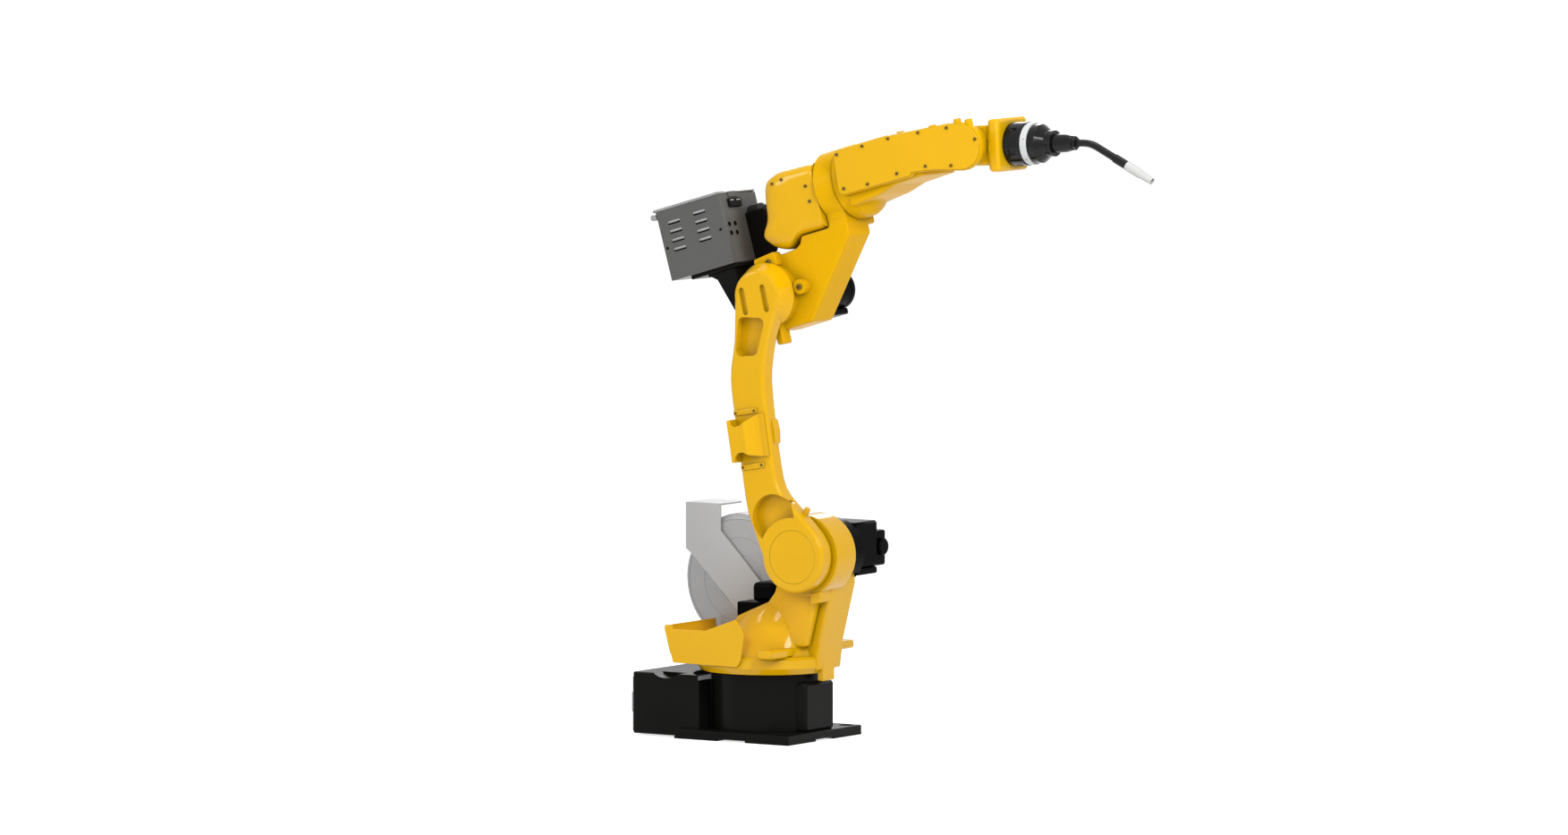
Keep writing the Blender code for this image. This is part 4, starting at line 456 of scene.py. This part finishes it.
def skin(rings):
    """A closed skin over rings of points: quads between neighbours, and one face over each end.

    Corner (i, j) of the quads is point j of ring i, and j wraps round.
    """
    count, around = rings.shape[:2]
    index = np.arange(count * around).reshape(count, around)
    onward = np.roll(index, -1, axis=1)
    quads = np.stack([index[:-1], onward[:-1], onward[1:], index[1:]], axis=-1).reshape(-1, 4)
    return rings.reshape(-1, 3), quads.tolist() + [index[0, ::-1].tolist(), index[-1].tolist()]


def across(along):
    """Two unit directions square to along and to each other."""
    along = np.asarray(along, float) / np.linalg.norm(along)
    start = np.array((0.0, 0.0, 1.0)) if abs(along[2]) < 0.9 else np.array((1.0, 0.0, 0.0))
    side = np.cross(start, along)
    side /= np.linalg.norm(side)
    return along, side, np.cross(along, side)


def lathe(profile, at, along, around=24):
    """A turned shape. Ring i is at + along h_i + r_i k_i (side cos a + up sin a), a from 0 to 2 pi.

    The profile's rows are h, r and 1 where the ring is a hexagon. k is 1 for a round ring, and for a
    hexagon 1 / cos(a mod 60 degrees - 30 degrees), which is the way to its flats.
    """
    profile = np.asarray(profile, float)
    along, side, up = across(along)
    turn = around_circle(around)
    flats = 1 / np.cos(np.mod(turn, np.pi / 3) - np.pi / 6)
    stretch = np.where(profile[:, 2:] > 0, flats, 1.0)
    out = side * np.cos(turn)[:, None] + up * np.sin(turn)[:, None]
    reach = (profile[:, 1:2] * stretch)[..., None]
    return skin(np.asarray(at) + along * profile[:, :1, None] + out[None] * reach)


def hoop(at, along, radius, width, height, around=96, section=8):
    """A thin closed ring: at + side (R + w cos b) cos a + up (R + w cos b) sin a + along h sin b.

    a goes round the ring and b round its section, which is an ellipse of half width w and half height h.
    """
    along, side, up = across(along)
    a = around_circle(around)[:, None, None]
    b = around_circle(section)[None, :, None]
    reach = radius + width * np.cos(b)
    flat = side * reach * np.cos(a) + up * reach * np.sin(a)
    points = np.asarray(at) + flat + along * height * np.sin(b)
    index = np.arange(around * section).reshape(around, section)
    ahead = np.roll(index, -1, axis=0)
    quads = np.stack([index, ahead, np.roll(ahead, -1, axis=1), np.roll(index, -1, axis=1)], axis=-1)
    return points.reshape(-1, 3), quads.reshape(-1, 4).tolist()


def pad(low, high, power, stations=9, around=40):
    """A block with soft edges between two corners in mm.

    Its rings are superellipses |x|^p + |z|^p = 1. The ring at t, from -1 to 1 through the thickness along
    Y and closest together at both faces, is 1 - d + d (1 - |t|^p)^(1/p) as large as the middle one, with d
    the share PAD_DROP that its faces lose.
    """
    low, high = np.asarray(low, float), np.asarray(high, float)
    middle, half = (low + high) / 2, (high - low) / 2
    t = bent(np.linspace(-1, 1, stations), 0.5)
    size = 1 - PAD_DROP + PAD_DROP * rounded(t, power)
    a = around_circle(around)
    ring_x, ring_z = bent(np.cos(a), 2 / power), bent(np.sin(a), 2 / power)
    return np.stack([
        middle[0] + half[0] * size[:, None] * ring_x,
        np.broadcast_to((middle[1] + half[1] * t)[:, None], (stations, around)),
        middle[2] + half[2] * size[:, None] * ring_z,
    ], axis=-1)


def piece(name, shells, body, paint, sharp=35.0):
    """One piece from its closed skins. Faces look outwards and shade smooth, but for sharp edges."""
    points, faces, start = [], [], 0
    for skin_points, loops in shells:
        points.append(skin_points)
        faces += [[start + corner for corner in loop] for loop in loops]
        start += len(skin_points)
    mesh = bpy.data.meshes.new(name)
    mesh.from_pydata(np.concatenate(points).tolist(), [], faces)
    shape = bmesh.new()
    shape.from_mesh(mesh)
    bmesh.ops.recalc_face_normals(shape, faces=shape.faces)
    shape.to_mesh(mesh)
    shape.free()
    mesh.shade_smooth()
    mesh.set_sharp_from_angle(angle=math.radians(sharp))
    mesh.materials.append(paint)
    made = bpy.data.objects.new(name, mesh)
    bpy.context.scene.collection.objects.link(made)
    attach(made, body)
    return made


# Screws

# A socket head's profile, for a thread 1 mm across: height, radius, and 1 for its hexagon
SOCKET_HEAD = [
    (-0.4, 0.85, 0), (0.5, 0.85, 0), (0.62, 0.74, 0), (0.62, 0.44, 1), (0.2, 0.42, 1), (0.16, 0.1, 0),
]
HOOD_SLOT = "j4_motor_cover"


def screws(name, body, carrier, size, starts, heading, paint=screw_dark):
    """One head of a size in mm wherever a line from each start, along heading, meets what carries it."""
    shells = []
    way = turned_up(body, heading)
    profile = np.array(SOCKET_HEAD) * (size * MM, size * MM, 1.0)
    for start in placed(body, starts):
        at, facing = seat(carrier, start, way)
        shells.append(lathe(profile, at, facing))
    piece(name, shells, body, paint)


# Motor hood on the elbow

# Its side view in mm, x and z, round from the top of its front
HOOD_CORNERS = (
    (188, 265), (84, 268), (44, 254), (33, 206), (29, 166), (2, 131), (33, 99), (72, 86), (104, 112),
    (188, 112),
)
HOOD_SAMPLES = 180
HOOD_RINGS = 45
HOOD_HALF_WIDTH = 76
HOOD_SEAT = 188
HOOD_FRONT = 187.0
HOOD_END_SIZE = 0.1


def motor_hood():
    """The rounded hood over the fourth axis's motor, fuller than its plain solid.

    Its side view is a closed line through the corners, sampled evenly and softened by a running mean of
    nine points and one of five, but for its flat front. The ring at angle b, from -90 to 90 degrees, stands
    at y = w t with t = |sin b|^0.8 and the sign of sin b. In x and z it is drawn towards the seat's point
    by e + (1 - e) (1 - |t|^6)^(1/6), with e the size left at both ends.
    """
    corners = np.array(HOOD_CORNERS, float)
    closed = np.vstack([corners, corners[:1]])
    way = np.concatenate([[0], np.cumsum(np.linalg.norm(np.diff(closed, axis=0), axis=1))])
    even = np.linspace(0, way[-1], HOOD_SAMPLES + 1)[:-1]
    line = np.stack([np.interp(even, way, closed[:, k]) for k in (0, 1)], axis=1)
    mean = np.mean([np.roll(line, shift, axis=0) for shift in range(-4, 5)], axis=0)
    mean = np.mean([np.roll(mean, shift, axis=0) for shift in range(-2, 3)], axis=0)
    line = np.where(line[:, 0:1] > HOOD_FRONT, line, mean)
    t = bent(np.sin(np.linspace(-np.pi / 2, np.pi / 2, HOOD_RINGS)), 0.8)
    size = HOOD_END_SIZE + (1 - HOOD_END_SIZE) * rounded(t, 6)
    rings = np.stack([
        HOOD_SEAT + (line[None, :, 0] - HOOD_SEAT) * size[:, None],
        np.broadcast_to(HOOD_HALF_WIDTH * t[:, None], (len(t), len(line))),
        HOOD_SEAT + (line[None, :, 1] - HOOD_SEAT) * size[:, None],
    ], axis=-1)
    made = piece("motor_hood", [skin(placed("elbow", rings))], "elbow", yellow, sharp=50)
    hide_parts(HOOD_SLOT)


motor_hood()


# Screws on the near side

TOWARDS_FAR = (0, 1, 0)
TOWARDS_NEAR = (0, -1, 0)
NEAR = -200.0
FAR = 260.0


def near(*spots):
    """Starts on the near side for spots of the side view."""
    return [(x, NEAR, z) for x, z in spots]


def far(*spots):
    """Starts on the far side for spots of the side view."""
    return [(x, FAR, z) for x, z in spots]


screws("forearm_cover_screws", "forearm", "forearm_cover_near", 4.4, near(
    (281, 62), (353, 64), (425, 63.5), (507, 57), (584, 49), (651, 6), (573, -36), (506, -21), (427, -18.5),
    (344, -22.5), (279, -17),
), TOWARDS_FAR)
screws("strap_screws_upper", "lower_arm", "strap_plate_upper", 3.4, near(
    (-97, 343), (-46, 343)
), TOWARDS_FAR)
screws("strap_screws_lower", "lower_arm", "strap_plate_lower", 3.4, near(
    (-97, 218), (-46, 218)
), TOWARDS_FAR)
screws("elbow_screws", "elbow", "elbow_casting", 8, near((26, 72), (92, -2)), TOWARDS_FAR)
screws("hood_screws", "elbow", "motor_hood", 4.5, near(
    (165, 216), (167, 180), (104, 246), (76, 243)
), TOWARDS_FAR)
screws("feeder_cover_screws", "elbow", "feeder_side_cover", 3.6, near(
    (-250, 171), (-97, 178)
), TOWARDS_FAR, base_black)


# Far side

J2_MOTOR = (150, 430)
J3_MOTOR = (62, -13)


def ring_of(centre, radius, start, step, count):
    """Far-side starts on a circle in the side view, angles in degrees."""
    angles = np.radians(start + step * np.arange(count))
    return far(*((centre[0] + radius * math.cos(a), centre[1] + radius * math.sin(a)) for a in angles))


screws("forearm_far_screws", "forearm", "forearm_cover_far", 4, far(
    (337, 43), (337, -32), (463, -20), (463, 38)
), TOWARDS_NEAR)
screws("elbow_flange_bolts", "elbow", "elbow_casting", 6, ring_of((0, 0), 72, 100, 36, 5), TOWARDS_NEAR)
screws("j3_motor_bolts", "elbow", "j3_motor", 5, ring_of(J3_MOTOR, 35, 45, 90, 4), TOWARDS_NEAR, screw_zinc)
screws("j2_motor_bolts", "waist", "j2_motor", 6, ring_of(J2_MOTOR, 68, 0, 90, 4), TOWARDS_NEAR, screw_zinc)
screws("wrist_cap_screws", "wrist", "wrist_casting", 4, ring_of((0, 0), 34, 60, 60, 6), TOWARDS_NEAR)
screws("feeder_box_screws", "elbow", "feeder_box", 3.6, far(
    (-246, 112), (-96, 112), (-246, 240), (-96, 240)
), TOWARDS_NEAR)


def motor_seams():
    """Raised seam rings round the third axis's motor, where its end cap and its flange meet the can."""
    centre = placed("elbow", (J3_MOTOR[0], 0, J3_MOTOR[1]))
    can_radius, half_width, half_height = 46 * MM, 1.1 * MM, 1.4 * MM
    shells = [
        hoop(centre + (0, y * MM, 0), (0, 1, 0), can_radius, half_width, half_height) for y in (42.0, 106.0)
    ]
    piece("j3_motor_seams", shells, "elbow", motor_black)


motor_seams()


# Feeder

# Each column of louvers in mm: where its lips start in x, and the z of its top lip
LOUVER_COLUMNS = ((-234.0, 227.5), (-161.0, 231.5))
LOUVER_ROWS = 4
LOUVER_PITCH = 21
LOUVER_FRONT = -60.2
LOUVER_BACK = -59.0


def louver_lips():
    """The pressed lips over the slots of the feeder's side, painted the lighter lid grey as painted
    highlight.

    The section at s, from -1 to 1 along a lip, stands at x = x0 + L (1 + s) / 2, and its size is
    e = (1 - |s|^3)^(1/3). Its point at a, from 0 to 180 degrees, is z0 + h cos a (0.55 + 0.45 e) up and
    r e sin a out of the sheet. The lip closes behind the sheet.
    """
    length, half, rise = 34.0, 3.0, 3.4
    s = np.linspace(-1, 1, 15)[:, None]
    size = rounded(s, 3)
    a = np.linspace(0, np.pi, 9)[None, :]
    shells = []
    for column, top in LOUVER_COLUMNS:
        x = np.broadcast_to(column + length * (1 + s) / 2, (s.size, a.size))
        for row in range(LOUVER_ROWS):
            z = top - LOUVER_PITCH * row
            front = np.stack([
                x,
                LOUVER_FRONT - rise * size * np.sin(a),
                z + half * np.cos(a) * (0.55 + 0.45 * size),
            ], axis=-1)
            back = front[:, ::-1].copy()
            back[..., 1] = LOUVER_BACK
            rings = np.concatenate([front, back[:, 1:-1]], axis=1)
            shells.append(skin(placed("elbow", rings)))
    # Painted highlight: the lips take the lighter lid grey rather than the side sheet's own grey.
    piece("louver_lips", shells, "elbow", lid_grey_and_lip_highlight, sharp=60)


# Turned shapes in mm: height, radius, and 1 for a hexagon
SOCKET_RIM = ((-1.0, 5.6, 0), (0.7, 5.6, 0), (0.9, 5.0, 0), (0.2, 4.4, 0), (0.2, 0.5, 0))
LATCH_PIN = ((0.0, 1.2, 0), (0.6, 2.2, 0), (13.4, 2.2, 0), (14.0, 1.2, 0))
CONTACT_PIN = ((-2.0, 1.5, 0), (8.0, 1.5, 0), (9.0, 0.8, 0))


def turned_part(profile, at, along, around=24):
    """A shape turned from one of the profiles above."""
    return lathe(np.array(profile) * (MM, MM, 1), at, along, around)


def feeder_front():
    """Four round sockets, near-black as painted shade for their holes, a latch with its two pins, and the
    lid's catch.
    """
    sockets = []
    for y in (-42.0, -18.0):
        for z in (165.5, 186.5):
            at, facing = seat("feeder_box", placed("elbow", (-60, y, z)), turned_up("elbow", (-1, 0, 0)))
            sockets.append(turned_part(SOCKET_RIM, at, facing))
    # The sockets' near-black is painted shade for the depth of their holes.
    piece("feeder_sockets", sockets, "elbow", hole_shade_black)
    latch = pad((-82.4, -30.0, 224.0), (-76.0, 22.0, 246.0), power=5.0)
    piece("latch_plate", [skin(placed("elbow", latch))], "elbow", base_black)
    pins = []
    for y in (-24.0, 2.0):
        pins.append(turned_part(LATCH_PIN, placed("elbow", (-77.5, y, 240.0)), (0, 1, 0), around=12))
    piece("latch_pins", pins, "elbow", screw_zinc)
    catch = pad((-81.4, -22.0, 248.5), (-79.0, 14.0, 262.0), power=5.0)
    piece("lid_catch", [skin(placed("lid", catch))], "lid", feeder_grey)


louver_lips()
feeder_front()


# Spool cover

SPOOL_X, SPOOL_Z = -110.0, 352.0
RING_RADII = (58.0, 97.0, 140.0)


def spool_rings():
    """Three low moulded rings on each face of the spool's cover."""
    half_width, half_height = 0.9 * MM, 0.7 * MM
    for name, node, y, away in (
        ("cover_rings_near", "spool_cover_near", 50.0, -1.0),
        ("cover_rings_far", "spool_cover_far", 180.0, 1.0),
    ):
        centre = np.array((SPOOL_X, y, SPOOL_Z)) * MM
        shells = [hoop(centre, (0, away, 0), radius * MM, half_width, half_height) for radius in RING_RADII]
        piece(name, shells, "waist", smoked)


spool_rings()


# Torch

RING_X = 138.5
SET_SCREW = 2.2 * MM
SET_SCREW_SINK = 1.2 * MM
OUTSIDE_RING = 80 * MM


def ring_screws():
    """Six set screws round the white ring, sunk into it."""
    profile = np.array(SOCKET_HEAD) * (SET_SCREW, SET_SCREW, 1) - (SET_SCREW_SINK, 0, 0)
    shells = []
    for degrees in range(15, 360, 60):
        angle = math.radians(degrees)
        out = turned_up("torch", (0, -math.cos(angle), math.sin(angle)))
        at, facing = seat("mount_ring", placed("torch", (RING_X, 0, 0)) + out * OUTSIDE_RING, -out)
        shells.append(lathe(profile, at, facing))
    piece("ring_screws", shells, "torch", screw_dark)


ring_screws()


# Rear connections

# Each plug shell in mm: where its middle stands in y, and half its opening
PLUG_SHELLS = ((-62.0, 39.0), (32.0, 26.0))
PLUG_Z = 72.0
INSERT_X = -295.6
PIN_X = -295.0
PIN_PITCH = 11.0


def connector_inserts():
    """The dark moulding with two rows of brass pins inside each plug shell at the rear."""
    pins, inserts = [], []
    for y, half_y in PLUG_SHELLS:
        insert = pad((-half_y, 0.0, -18.0), (half_y, 6.0, 18.0), power=8.0)
        turned = np.stack([INSERT_X + insert[..., 1], y + insert[..., 0], PLUG_Z + insert[..., 2]], axis=-1)
        inserts.append(skin(turned * MM))
        count = int(half_y // 6)
        for row in (-8.0, 8.0):
            for k in range(count):
                at = np.array((PIN_X, y + (k - (count - 1) / 2) * PIN_PITCH, PLUG_Z + row)) * MM
                pins.append(turned_part(CONTACT_PIN, at, (-1, 0, 0), around=10))
    piece("connector_inserts", inserts, "base", rubber)
    piece("connector_pins", pins, "base", brass)


connector_inserts()
screws("rear_panel_screws", "base", "rear_panel", 5, [
    (-400, y, z) for y in (-124, 0, 124) for z in (18, 124)
], (1, 0, 0), screw_zinc)
